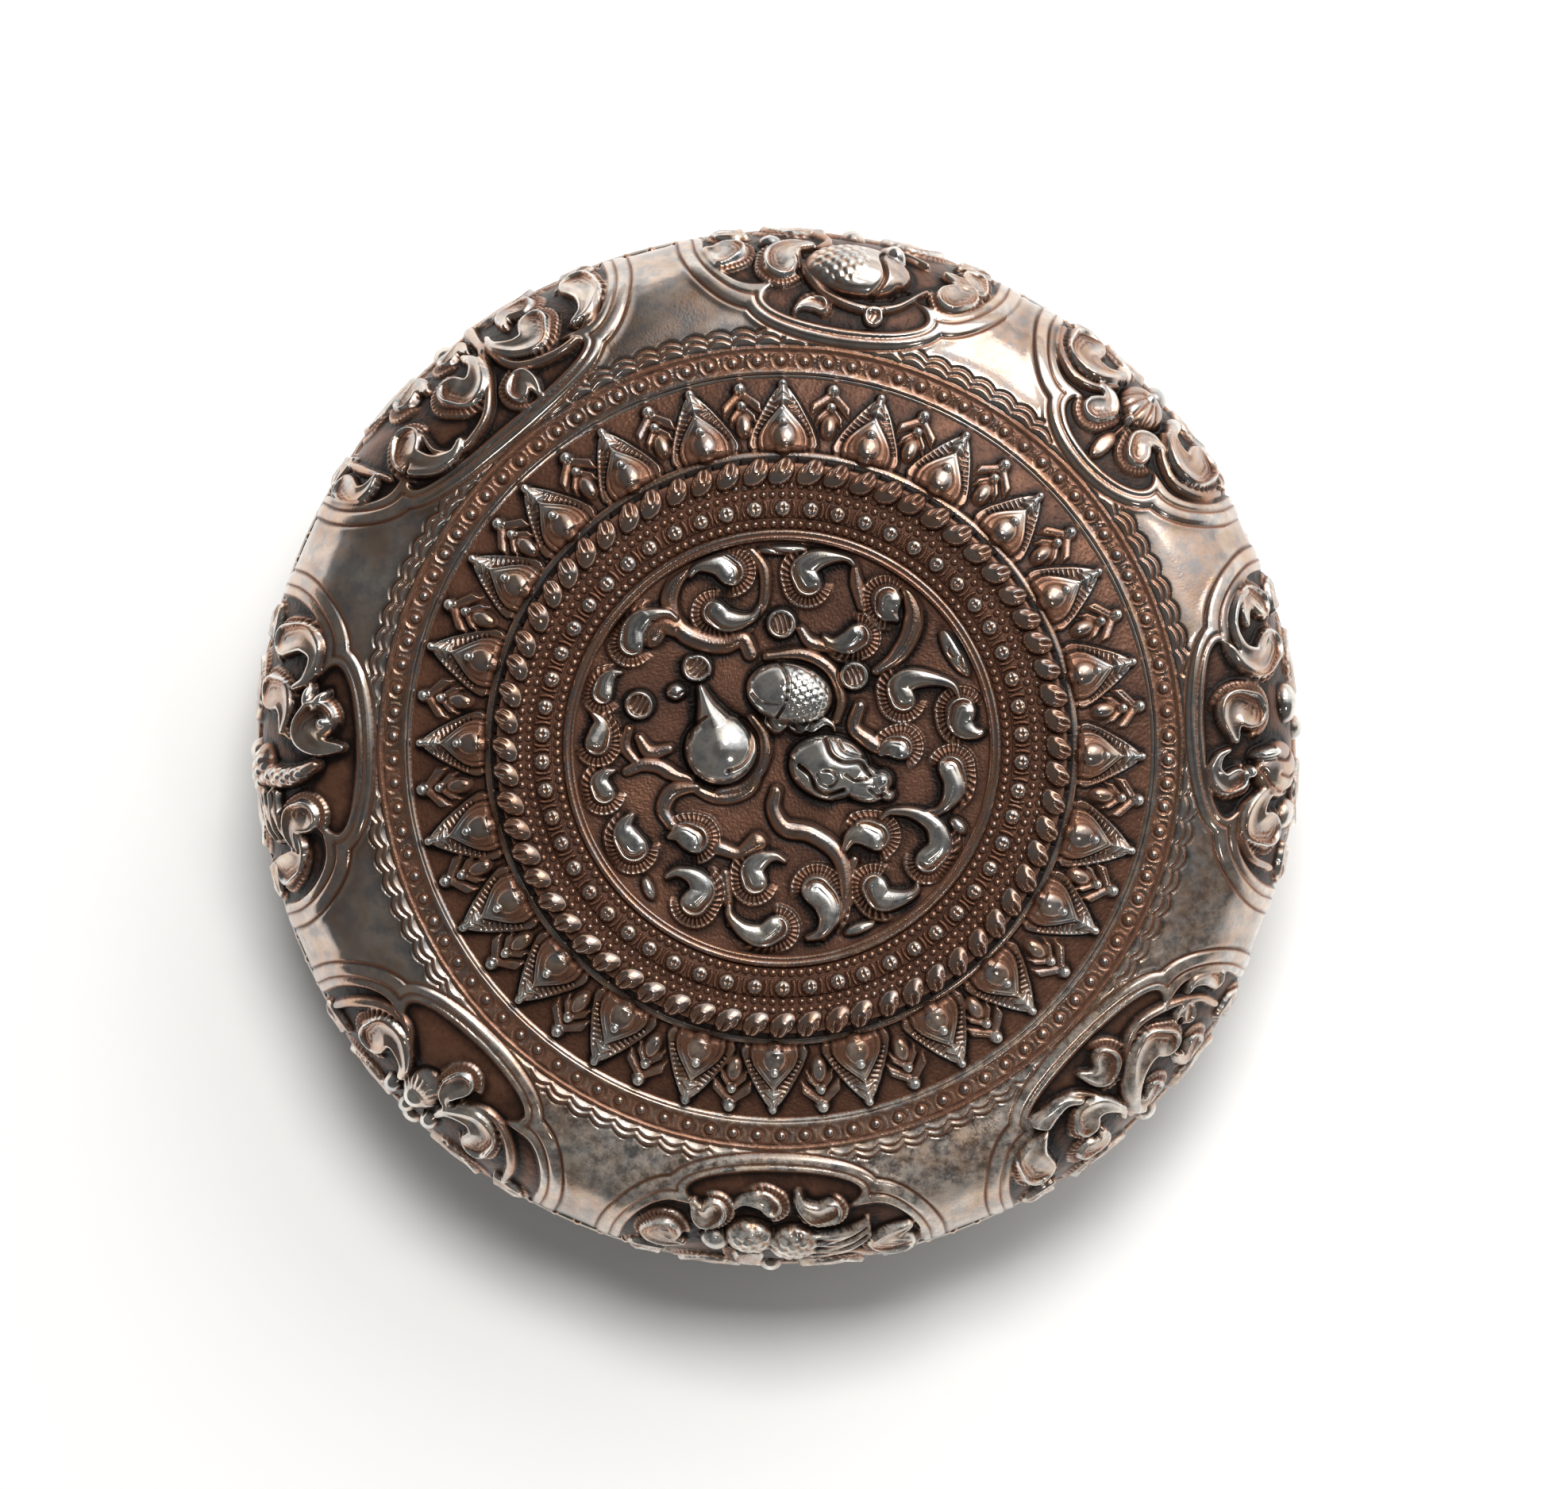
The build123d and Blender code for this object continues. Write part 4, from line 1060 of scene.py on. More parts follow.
def petal_work(band, u, v):
    """One lotus petal over local places: u across it, v out from the margin."""
    half = np.interp(v, PETAL_AT, PETAL_HALF)
    q = np.abs(u) - half
    within = (v > -0.2) & (v < PETAL_AT[-1])
    curl = ramp(3.6, 7.2, v)
    fall = 0.18 * np.clip(np.abs(u) / np.maximum(half, 0.05), 0, 1)
    band.put(0.55 + 0.4 * curl - fall, 0.34 + 0.3 * curl, within & (q < 0))
    edge = ridge(q + 0.14, 0.11) * within
    moat = ridge(q - 0.16, 0.13) * within
    band.add(0.08 * edge - 0.14 * moat, 0.04 * edge - 0.06 * moat)
    # slanting ticks along the border
    slant = 0.92 * v - 0.35 * np.abs(u)
    border = ramp(-0.3, -0.42, q) * ramp(-1.5, -1.2, q) * ramp(1.2, 1.8, v) * ramp(6.4, 5.9, v)
    tick = border * ramp(0.35, 0.75, 0.5 + 0.5 * np.cos(2 * math.pi * slant / 0.55))
    band.add(-0.18 * tick, 0.12 * border - 0.34 * tick)
    # onion-shaped leaf on it, dark at its foot, with a line inside its edge
    leaf_half = np.interp(v, LEAF_AT, LEAF_HALF)
    inner = np.abs(u) - leaf_half
    on_leaf = (v > -0.2) & (v < LEAF_AT[-1])
    crown = np.sqrt(np.clip(1 - (u / np.maximum(leaf_half, 0.05)) ** 2, 0, 1))
    band.put(0.66 + 0.5 * crown, 0.26 + 0.4 * ramp(1.4, 4.2, v), on_leaf & (inner < 0))
    moat = ridge(inner - 0.1, 0.12) * on_leaf
    line = ridge(inner + 0.55, 0.11) * on_leaf
    band.add(-0.2 * moat - 0.18 * line, -0.24 * moat - 0.2 * line)
    # bulb with a bead on its shoulder, and the turned-up tip with its hook
    band.boss(u, v - 1.3, 1.45, 1.75, 0.95, 0.85, 0.42)
    band.boss(u, v - 2.7, 0.55, 0.55, 1.6, 0.65, 1.0)
    tip = np.clip(1 - np.abs(u) / np.maximum(0.5 * half, 0.05), 0, 1)
    on_tip = ramp(5.1, 5.5, v) * (v < 7.4)
    band.put((1.0 + 0.45 * tip) * on_tip, 0.5 + 0.35 * tip, (tip > 0.02) & (on_tip > 0.5))
    hook = ridge(v - 6.3 + 0.6 * np.abs(u), 0.13) * (np.abs(u) < 0.9) * within
    band.add(-0.25 * hook, -0.4 * hook)
    band.boss(u, v - 7.6, 0.55, 0.55, 0.75, 0.75, 0.85)


def spear_work(band, u, v):
    """Broad chevrons, beads and a drop between two petals."""
    for foot, top, reach, width in ((5.0, 7.0, 2.2, 0.75), (3.6, 5.4, 1.5, 0.6)):
        line = v - (top - (top - foot) * np.abs(u) / reach)
        strap = np.clip(1 - (line / width) ** 2, 0, 1)
        inside = (strap > 0) & (np.abs(u) < reach)
        band.put(0.5 * strap**0.25 + 0.12 * line / width, 0.26 + 0.1 * strap, inside)
    band.boss(u, v - 7.5, 0.75, 0.75, 0.3, 0.95, 0.75)
    band.boss(u, v - 5.4, 0.58, 0.58, 0.5, 0.65, 0.7)
    band.boss(u, v - 3.1, 0.95, 1.6, 0.0, 0.95, 0.36)


def petal_heights(r, v, turn):
    """Petals, spears, the moulding inside them and both edges, over a grid."""
    pitch = 2 * math.pi / PETALS
    number = np.round((turn - PETAL_TURN) / pitch)
    sway = rng.uniform(-0.012, 0.012, PETALS + 1)[number.astype(int) % PETALS]
    stretch = rng.uniform(0.96, 1.03, PETALS + 1)[number.astype(int) % PETALS]
    u = (turn - PETAL_TURN - number * pitch - sway) * r
    band = Band(v.shape, PETAL_GROUND_SHINE)
    petal_work(band, u / stretch, v / stretch)
    spear = np.floor((turn - PETAL_TURN) / pitch) + 0.5
    spear_work(band, (turn - PETAL_TURN - spear * pitch) * r, v)
    moulding = np.sqrt(np.clip(1 - ((v + 0.72) / 0.68) ** 2, 0, 1)) * (v < 0.05)
    band.put(0.5 * moulding, 0.3 + 0.2 * moulding, moulding > 0)
    rim = ridge(v - SLOPE + 0.3, 0.2)
    foot = ridge(v + 0.02, 0.12)
    band.add(0.3 * rim - 0.18 * foot, 0.5 * rim - 0.2 * foot)
    height = blurred(band.h, 1, True) + 0.02 * stipple(v.shape) * ramp(0.3, 0.15, band.shine)
    return height, band.shine


def make_petal_band():
    out_rows = np.linspace(SLOPE, 0, 100)
    margin_rows = np.linspace(0, -(PETAL_IN - DRUM_R), 14)[1:]
    v_rows = np.concatenate([out_rows, margin_rows])
    turn_row = whole_turn(FINE_COLUMNS)
    v, turn = np.meshgrid(v_rows, turn_row, indexing="ij")
    share = np.clip(v / SLOPE, 0, 1)
    r = PETAL_IN + (PETAL_OUT - PETAL_IN) * share + np.minimum(v, 0)
    z = MARGIN + (PETAL_EDGE - MARGIN) * share
    lean = np.where(v > 0, math.atan2(MARGIN - PETAL_EDGE, PETAL_OUT - PETAL_IN), 0)
    height, shine = petal_heights(r, v, turn)
    polish = polish_of(shine, height, 5, True)
    outer = on_circle(r + height * np.sin(lean), z + height * np.cos(lean), turn)
    backs = [on_circle(back_r + 0 * turn_row, back_z, turn_row)[None] for back_r, back_z in PETAL_BACK]
    points = np.concatenate([outer] + backs).reshape(-1, 3)
    rows = len(v_rows) + len(backs)
    back = len(backs) * FINE_COLUMNS
    piece = add_piece(
        "petal_band_worked",
        points,
        [ring_faces(rows, FINE_COLUMNS, True)],
        RELIEF_SILVER,
        with_back(polish, back, 0.3),
        ring_uv(rows, FINE_COLUMNS, True, PETAL_STRIPS),
        with_back(grime_and_shade_of(height, 5, True), back, 1.0),
    )
    declare(piece, "lid", "petal_band")


# Stage: drum, bezel, wires and bead rows
SEAT = CHANNEL + 0.1  # the beads' seats are chased down between them
RIDGE_TOP = SEAT + 0.2
LEDGE = 1.8  # the ledge under the medallion's edge
STAGE_COLUMNS = 480
BEZEL_TOP = FIELD + 1.2
# the bezel's moulding, from outside in: way in from its edge, way down from its top, and polish
BEZEL_CURVE = (
    (0.0, 0.4, 0.3), (0.15, 0.12, 0.42), (0.4, 0.02, 0.5), (0.62, 0.14, 0.4), (0.7, 0.34, 0.12),
    (0.78, 0.2, 0.36), (0.95, 0.08, 0.44), (1.12, 0.18, 0.36),
)


def make_drum():
    low = MARGIN - 2 * SHEET
    under = CHANNEL - SHEET
    ledge_low = FIELD - 2 * SHEET
    outline = rounded(
        [(PETAL_IN, low), (PETAL_IN, MARGIN - SHEET), (DRUM_R, MARGIN - SHEET), (DRUM_R, SEAT),
         (EDGE_IN, SEAT), (EDGE_IN, CHANNEL), (RIDGE_OUT, CHANNEL), (RIDGE_OUT, RIDGE_TOP),
         (RIDGE_IN, RIDGE_TOP), (RIDGE_IN, CHANNEL), (PLATE_R, CHANNEL), (PLATE_R, FIELD - SHEET),
         (PLATE_R - LEDGE, FIELD - SHEET), (PLATE_R - LEDGE, ledge_low), (PLATE_R + SHEET, ledge_low),
         (PLATE_R + SHEET, under), (DRUM_R - SHEET, under), (DRUM_R - SHEET, low)],
        0.45, 5,
    )
    level = [0.1 if r < DRUM_R - 0.3 else 0.25 for r, _ in outline]
    drum = turned_piece("stage_drum_worked", outline, STAGE_COLUMNS, RELIEF_SILVER, level)
    declare(drum, "lid", "stage_drum")


def make_bezel():
    moulding = [(PLATE_R, FIELD)]
    moulding += [(PLATE_R - way_in, BEZEL_TOP - down) for way_in, down, _ in BEZEL_CURVE]
    moulding += [(FIELD_R, BEZEL_TOP - 0.5), (FIELD_R, FIELD)]
    level = [0.15] + [polish for _, _, polish in BEZEL_CURVE] + [0.25, 0.12]
    bezel = turned_piece("medallion_bezel_worked", moulding[::-1], STAGE_COLUMNS, RELIEF_SILVER, level[::-1])
    declare(bezel, "lid", "medallion_bezel")


def bead_row(node, count, ring_r, height, jitter, out, side, up, polish):
    """Row of beads round the lid, each a small grid of places out, sideways and up, turned into its place."""
    rows, columns = out.shape
    points = []
    for n in range(count):
        turn = 2 * math.pi * (n + rng.uniform(-jitter, jitter)) / count
        grow = rng.uniform(1 - jitter, 1 + jitter)
        radial = ring_r + out * grow
        sideways = side * grow
        x = radial * math.sin(turn) + sideways * math.cos(turn)
        y = radial * math.cos(turn) - sideways * math.sin(turn)
        points.append(np.stack([x, y, height + up * grow], -1).reshape(-1, 3))
    starts = np.arange(count)[:, None, None] * rows * columns
    faces = (grid_faces(rows, columns)[None] + starts).reshape(-1, 4)
    levels = np.tile(np.clip(polish, 0, 1).ravel(), count)
    # darker where a bead is less polished, at its foot and in its cuts: partly soiling, partly painted shade
    dirt_and_shade = np.tile(np.clip(0.2 + 2.2 * polish, 0.2, 1).ravel(), count)
    piece = add_piece(f"{node}_worked", np.concatenate(points), [faces], BEAD_SILVER, levels, None, dirt_and_shade)
    declare(piece, "lid", node)


def ball(radius, rings, sides, foot_shine, top_shine):
    """Half ball as a grid: out, sideways, up and polish."""
    t, a = np.meshgrid(np.linspace(0, 1, rings), np.linspace(0, 2 * math.pi, sides), indexing="ij")
    lift = t * math.pi / 2
    r = radius * (0.001 + 0.999 * np.cos(lift))
    return r * np.sin(a), r * np.cos(a), radius * np.sin(lift), foot_shine + (top_shine - foot_shine) * t


def patch(half_out, half_side, rows, columns):
    """Flat grid for a bead worked as a height field, with the edge tucked under."""
    out_steps = np.linspace(-half_out, half_out, rows)
    side_steps = np.linspace(-half_side, half_side, columns)
    out, side = np.meshgrid(out_steps, side_steps, indexing="ij")
    rim = np.maximum(np.abs(out) / half_out, np.abs(side) / half_side) > 0.999
    return out, side, rim


def large_pod():
    """Pod lying slantwise across the row, split like a claw at its outer end."""
    out, side, rim = patch(1.65, 1.62, 28, 26)
    skew = side - 0.34 * out
    q = np.hypot(out / 1.6, skew / (1.46 - 0.16 * out))
    top = np.clip(1 - q**2, 0, 1)
    split = ridge(skew - 0.1, 0.2) * ramp(-0.1, 0.7, out)
    flute = ridge(np.abs(skew) - 0.8, 0.18) * ramp(-0.6, 0.2, out)
    up = 1.4 * top**0.38 * (1 + 0.1 * out) - (0.6 * split + 0.3 * flute) * top**0.25
    shine = 0.16 + 0.32 * ramp(0.0, 0.3, top) - 0.4 * split - 0.2 * flute
    skirt = ramp(0.0, 0.12, top)
    return out, side, np.where(rim, -1.0, up * skirt - 0.8 * (1 - skirt)), shine * skirt


def middle_bead():
    """Round bead with crossed cuts on top and a thin curved ridge each side of it."""
    out, side, rim = patch(1.05, 1.55, 20, 28)
    q = np.hypot(out, side) / 1.02
    top = np.clip(1 - q**2, 0, 1)
    cut = ridge(side, 0.13) * ridge(out, 0.5) + 0.5 * ridge(out, 0.14)
    up = 1.1 * top**0.5 - 0.24 * cut * top
    bow = np.abs(side) - 1.32 + 0.25 * out**2
    strap = 0.42 * np.sqrt(np.clip(1 - (bow / 0.22) ** 2, 0, 1)) * ramp(1.0, 0.8, np.abs(out))
    shine = np.where(up > strap, 0.25 + 0.4 * ramp(0.0, 0.35, top) - 0.35 * cut * top, 0.3)
    skirt = np.maximum(ramp(0.0, 0.12, top), ramp(0.05, 0.3, strap))
    return out, side, np.where(rim, -0.8, np.maximum(up, strap) * skirt - 0.5 * (1 - skirt)), shine * skirt


def make_beads():
    edge_middle = (EDGE_IN + DRUM_R) / 2
    ridge_middle = (RIDGE_IN + RIDGE_OUT) / 2
    bead_row("large_granules", 64, edge_middle, STAGE - 0.1, 0.05, *large_pod())
    bead_row("middle_granules", 54, ridge_middle, STAGE - 0.1, 0.03, *middle_bead())
    bead_row("pearl_granules", PEARLS, PEARL_RING, CREST - 0.02, 0.03, *ball(0.62, 10, 20, 0.2, 0.7))
    fine = ball(0.46, 8, 12, 0.12, 0.5)
    bead_row("outer_fine_wire", 176, EDGE_IN - 0.5, CHANNEL - 0.02, 0.05, *fine)
    bead_row("inner_fine_wire", 168, RIDGE_OUT + 0.5, CHANNEL - 0.02, 0.05, *fine)
    coarser = ball(0.5, 8, 12, 0.12, 0.5)
    bead_row("medallion_fine_wire", 154, (PLATE_R + RIDGE_IN) / 2, CHANNEL, 0.05, *coarser)


def make_rim_beads():
    """Half balls that face outwards, so a ball's height is its way out here."""
    side, height, out, polish = ball(0.6, 8, 16, 0.3, 0.8)
    bead_row("rim_granules", 126, LID_R, SEAM + 0.7, 0.03, out, side, height, polish)


# Medallion, at places read off the photograph from its middle
# Comma leaves: points from head to tail, and the head's half width
MEDALLION_LEAVES = (
    ([(-5.7, 20.0), (-7.2, 20.9), (-9.4, 20.6)], 1.65),
    ([(-7.6, 15.3), (-6.4, 14.5), (-4.8, 14.4), (-3.2, 14.9)], 1.5),
    ([(-16.9, 11.9), (-16.5, 13.6), (-15.0, 15.0), (-13.0, 15.4)], 1.55),
    ([(2.9, 18.7), (2.5, 20.2), (4.2, 21.4), (7.0, 21.6)], 1.65),
    ([(11.8, 16.7), (11.9, 15.6)], 1.75),
    ([(8.6, 12.6), (7.4, 11.9), (5.8, 11.8)], 1.5),
    ([(13.6, 5.6), (13.3, 7.0), (14.8, 7.9), (17.2, 7.8), (19.2, 7.2)], 1.55),
    ([(20.2, 4.2), (20.2, 2.8), (21.6, 1.8)], 1.75),
    ([(13.4, 0.2), (12.2, 0.2)], 1.5),
    ([(19.2, -2.2), (19.6, -4.0), (19.0, -5.8), (17.8, -7.0)], 1.55),
    ([(10.7, -9.8), (9.2, -9.4), (7.8, -10.0)], 1.7),
    ([(16.6, -12.7), (17.9, -11.0), (17.3, -8.7), (15.0, -7.3), (12.4, -7.1)], 1.5),
    ([(10.4, -15.6), (11.2, -16.9), (13.0, -16.9), (14.8, -16.2)], 1.6),
    ([(4.0, -15.9), (5.1, -17.4), (5.3, -19.2), (4.4, -20.8)], 1.8),
    ([(-3.1, -15.0), (-3.3, -13.6), (-2.2, -12.5), (-0.8, -12.1)], 1.5),
    ([(-0.6, -20.3), (-2.2, -21.1), (-4.2, -20.5), (-5.8, -18.9)], 1.5),
    ([(-9.8, -17.4), (-8.9, -16.0), (-9.8, -14.5), (-11.6, -13.9)], 1.65),
    ([(-9.8, -10.1), (-11.2, -9.5)], 1.75),
    ([(-16.8, -11.2), (-17.6, -9.8), (-17.7, -8.7)], 1.8),
    ([(-20.1, -5.0), (-20.5, -3.8), (-19.9, -2.8)], 1.35),
    ([(-20.7, 0.6), (-20.4, 2.0), (-20.4, 3.0)], 1.5),
    ([(-20.2, 6.2), (-19.8, 7.4), (-19.0, 8.4)], 1.25),
)
# Slivers at the edge: middle, half length, half width and turn
MEDALLION_SLIVERS = (
    (19.7, 10.8, 3.1, 1.25, -58),
    (0.2, 22.5, 2.9, 0.7, 2),
    (20.0, -8.7, 1.3, 0.75, -45),
    (8.8, -20.2, 1.9, 0.7, 20),
    (-15.0, -15.8, 1.4, 0.7, 110),
)


def medallion_stems(w):
    w.stem([(-9.2, 20.9), (-11.6, 19.4), (-12.7, 16.6), (-11.9, 14.0), (-9.6, 12.4), (-6.6, 11.8),
            (-4.4, 12.4), (-3.5, 10.8)], [0.45, 0.7, 0.8, 0.6], 0.8)
    w.stem([(-3.6, 22.6), (-2.1, 20.6), (-1.8, 18.2), (-2.3, 15.8), (-4.2, 14.0)], [0.4, 0.45, 0.4, 0.3], 0.6)
    w.stem([(-14.6, 12.8), (-13.6, 14.2), (-12.2, 13.8)], [1.0, 1.1, 0.8], 0.9)
    w.stem([(2.2, 13.4), (3.4, 11.9), (6.2, 11.4)], [0.4, 0.55, 0.5], 0.8)
    w.stem([(14.2, 17.6), (14.9, 15.2), (14.4, 12.6), (12.8, 10.2), (10.6, 8.7)], [0.5, 0.8, 0.7, 0.35], 1.0)
    w.stem([(8.2, 21.0), (8.5, 18.4), (9.0, 16.0)], [0.3, 0.55, 0.35], 0.7)
    w.stem([(-1.6, 10.4), (2.6, 10.6), (5.6, 8.8), (6.7, 5.6), (6.2, 3.2)], [0.4, 0.55, 0.5, 0.35], 0.7)
    w.stem([(8.8, 4.8), (8.2, 2.4), (10.2, 0.6), (11.8, -0.2)], [0.5, 0.55, 0.7, 0.5], 0.8)
    w.stem([(-0.6, -4.8), (-0.9, -6.8), (0.4, -8.9), (3.2, -9.5), (6.0, -11.4), (7.1, -14.2),
            (6.9, -18.0), (4.6, -21.2)], [0.5, 0.75, 0.7, 0.5, 0.35], 0.9)
    w.stem([(-17.4, -2.6), (-15.6, -1.8), (-13.8, -2.0), (-12.0, -3.0), (-10.2, -3.4)],
           [0.4, 0.6, 0.6, 0.4], 0.7)
    w.stem([(-17.2, 2.2), (-17.6, 0.2), (-16.4, -1.4)], [0.35, 0.5, 0.4], 0.6)
    w.stem([(-16.0, 1.2), (-14.8, -0.4), (-12.6, 0.0)], [0.4, 0.6, 0.4], 0.7)
    w.stem([(-9.6, -4.3), (-12.2, -4.8), (-13.3, -6.8), (-12.4, -8.6)], [0.4, 0.65, 0.6, 0.5], 0.8)
    w.dome(-11.9, -8.9, 0.75, 0.75, 0, 1.0)
    w.stem([(-10.4, -4.2), (-7.0, -5.6), (-3.6, -4.6), (-2.2, -1.2)], [0.4, 0.5, 0.5, 0.35], 0.6)
    w.stem([(-7.0, -11.2), (-4.8, -11.8), (-2.8, -10.6)], [0.6, 0.5, 0.8], 0.8)
    w.stem([(-6.4, -14.0), (-6.0, -17.6), (-5.8, -19.8)], [0.35, 0.4, 0.3], 0.5)
    w.stem([(8.2, -12.4), (7.4, -14.6), (7.6, -17.4)], [0.35, 0.5, 0.35], 0.6)
    w.stem([(-18.2, -8.6), (-18.6, -9.6), (-17.6, -9.4)], [0.3, 0.45, 0.3], 0.6)


def medallion_leaves(w):
    """Leaves, slivers at the edge, and buds."""
    for points, width in MEDALLION_LEAVES:
        w.comma(points, width, 0.95 * width, 1.1)
    for x, y, long, short, turn in MEDALLION_SLIVERS:
        w.dome(x, y, long, short, turn, 0.9, 0.6)
    w.groove([(18.9, 11.6), (18.8, 10.9), (19.3, 10.3)], 0.16, 0.4)
    w.groove([(20.2, 10.2), (20.2, 9.5), (20.7, 8.9)], 0.16, 0.4)
    w.groove([(-1.6, 22.8), (-0.4, 22.2), (0.8, 22.0)], 0.16, 0.3)
    w.bud(0.0, 14.1, 1.65, 1.3, 15)
    w.bud(-9.5, 9.1, 1.6, 1.3, -40)
    w.bud(-16.0, 4.9, 1.6, 1.3, -30)
    w.bud(8.2, 8.2, 1.6, 1.3, 20)
    w.dome(-11.8, 6.4, 1.2, 1.0, 20, 1.3)
    w.groove([(-12.6, 6.3), (-11.8, 5.9), (-11.0, 6.4)], 0.14, 0.3)
    w.groove([(-12.6, 5.7), (-11.8, 5.3), (-10.9, 5.8)], 0.14, 0.3)


def medallion_animal(w):
    """Haunch with its crest, scaled body, and head."""
    w.stem([(-7.4, 2.2), (-8.3, 4.6), (-9.0, 6.8)], [1.6, 0.85, 0.35], 2.4, 0.75)
    w.dome(-6.8, -0.1, 4.2, 4.1, 0, 3.0, 0.5, 0.9)
    w.groove([(-4.6, 3.4), (-3.5, 1.8), (-3.4, -0.2), (-4.4, -1.8), (-6.2, -2.6)], 0.24, 0.6)
    w.groove([(-10.4, 1.2), (-9.8, 2.6), (-8.4, 3.6)], 0.2, 0.5)
    w.stem([(-3.3, 3.6), (-1.9, 1.2), (-2.2, -1.8), (-4.2, -4.2), (-7.0, -5.0)],
           [0.4, 0.5, 0.5, 0.4], 0.6, 0.3)
    w.dome(0.9, 6.2, 5.0, 3.6, -14, 2.8, 0.5, 0.9)
    w.scales(2.6, 5.9, 3.2, 3.4, -14, 1.0, 0.3)
    w.groove([(-0.1, 9.6), (0.7, 7.7), (0.5, 5.4), (-0.5, 3.5)], 0.24, 0.5)
    w.groove([(-3.4, 6.2), (-2.2, 5.2), (-0.4, 4.9)], 0.18, 0.35)
    w.comma([(-1.2, 3.2), (-0.4, 2.5), (0.6, 2.8)], 0.85, 1.1, 0.2)
    w.comma([(1.4, 2.8), (2.2, 2.3), (3.2, 2.9)], 0.75, 1.0, 0.2)
    w.dome(5.4, -2.1, 4.7, 3.7, -12, 2.9, 0.5, 0.9)
    w.dome(9.3, -3.9, 3.0, 2.2, -20, 2.2, 0.5, 0.9)
    w.dome(11.3, -3.6, 1.35, 1.35, 0, 2.6, 0.5, 0.95)
    w.dome(12.0, -5.2, 0.9, 0.8, 0, 1.8, 0.5, 0.8)
    w.groove([(5.0, 1.1), (5.6, -0.6), (7.0, -1.5), (8.8, -1.5), (10.0, -3.0)], 0.32, 0.8)
    w.groove([(6.4, 0.9), (6.8, -0.1), (7.9, -0.7), (9.4, -1.0)], 0.22, 0.5)
    w.groove([(2.0, -1.9), (3.2, -2.9), (3.8, -4.4), (5.2, -5.2), (7.0, -4.7)], 0.32, 0.8)
    w.groove([(4.0, -2.9), (4.5, -4.0), (5.6, -4.3), (6.3, -3.5), (5.7, -2.6), (4.7, -2.5)], 0.2, 0.5)
    w.groove([(7.2, -2.9), (8.4, -3.6), (9.6, -3.4)], 0.22, 0.5)
    w.groove([(9.9, -4.6), (11.0, -5.4), (12.4, -4.6)], 0.24, 0.5)
    w.comma([(3.4, 2.5), (4.8, 3.1), (5.8, 2.6)], 0.75, 0.9, 0.2)


MEDALLION_HAND = dict(ground_shine=0.15, leaf_grow=1.05, leaf_shine=0.95, stem_grow=1.5, hollow=0.2, tail=0.8)
MEDALLION_STEPS = 500
# Places in the plate's bake map: the face, the edge's strip and the middle of the underside
FACE_LOW = 0.04
FACE_WIDE = 0.7
EDGE_STRIP = (0.78, 0.8)
UNDER_MIDDLE = 0.87
UNDER_HALF = 0.1


def square_to_disc(a, b):
    """Carries places in a square from -1 to 1 into a disc, ring for ring."""
    first = np.abs(a) > np.abs(b)
    safe_a = np.where(a == 0, 1e-9, a)
    safe_b = np.where(b == 0, 1e-9, b)
    r = np.where(first, a, b)
    angle = np.where(first, math.pi / 4 * b / safe_a, math.pi / 2 - math.pi / 4 * a / safe_b)
    return r * np.cos(angle), r * np.sin(angle)


def grid_edge(n):
    """Numbers of the points round the edge of a square grid."""
    last = n - 1
    there = [np.arange(n) * n, last * n + np.arange(1, n)]
    back = [np.arange(n - 2, -1, -1) * n + last, np.arange(n - 2, 0, -1)]
    return np.concatenate(there + back)


def medallion_map(a, b, quads, under, k, on):
    """Bake map of the medallion's face, edge and underside, corner by corner."""
    face = (FACE_LOW + FACE_WIDE * (np.stack([a, b], -1) + 1) / 2).reshape(-1, 2)
    share = np.stack([k, k, k + 1, k + 1], 1) / len(k)
    low, high = EDGE_STRIP
    edge = np.stack([share * FACE_WIDE + 0.02, np.broadcast_to((low, high, high, low), share.shape)], -1)
    round_under = UNDER_MIDDLE + UNDER_HALF * under[:, :2] / PLATE_R
    fan = np.stack([round_under[k], np.full((len(k), 2), UNDER_MIDDLE), round_under[on]], 1)
    return np.concatenate([face[quads.ravel()], edge.reshape(-1, 2), fan.reshape(-1, 2)])


def make_medallion():
    n = MEDALLION_STEPS
    side = np.linspace(-1, 1, n)
    a, b = np.meshgrid(side, side, indexing="ij")
    disc_x, disc_y = square_to_disc(a, b)
    x = PLATE_R * disc_x
    y = PLATE_R * disc_y
    work = Relief(x.ravel(), y.ravel(), **MEDALLION_HAND)
    medallion_stems(work)
    medallion_leaves(work)
    medallion_animal(work)
    shine = work.shine.reshape(x.shape)
    height = blurred(work.h.reshape(x.shape), 1, False)
    height += 0.016 * stipple(x.shape) * ramp(0.3, 0.12, shine)
    height *= ramp(1.0, 0.965, np.hypot(x, y) / FIELD_R)
    polish = polish_of(shine, height, 6, False)
    grime_and_shade = grime_and_shade_of(height, 6, False)
    top = np.stack([x, y, FIELD + height], -1).reshape(-1, 3)
    quads = grid_faces(n, n)[:, [0, 3, 2, 1]]
    edge = grid_edge(n)
    under = top[edge] * (1, 1, 0) + (0, 0, FIELD - SHEET)
    points = np.concatenate([top, under, [[0, 0, FIELD - SHEET]]])
    k = np.arange(len(edge))
    on = (k + 1) % len(edge)
    first_low = n * n
    middle = first_low + len(edge)
    wall = np.stack([edge[k], first_low + k, first_low + on, edge[on]], -1)
    fan = np.stack([first_low + k, np.full(len(k), middle), first_low + on], -1)
    hidden = len(under) + 1
    piece = add_piece(
        "medallion_worked",
        points,
        [quads, wall, fan],
        RELIEF_SILVER,
        with_back(polish, hidden, 0.35),
        medallion_map(a, b, quads, under, k, on),
        with_back(grime_and_shade, hidden, 1.0),
    )
    declare(piece, "lid", "medallion_plate")


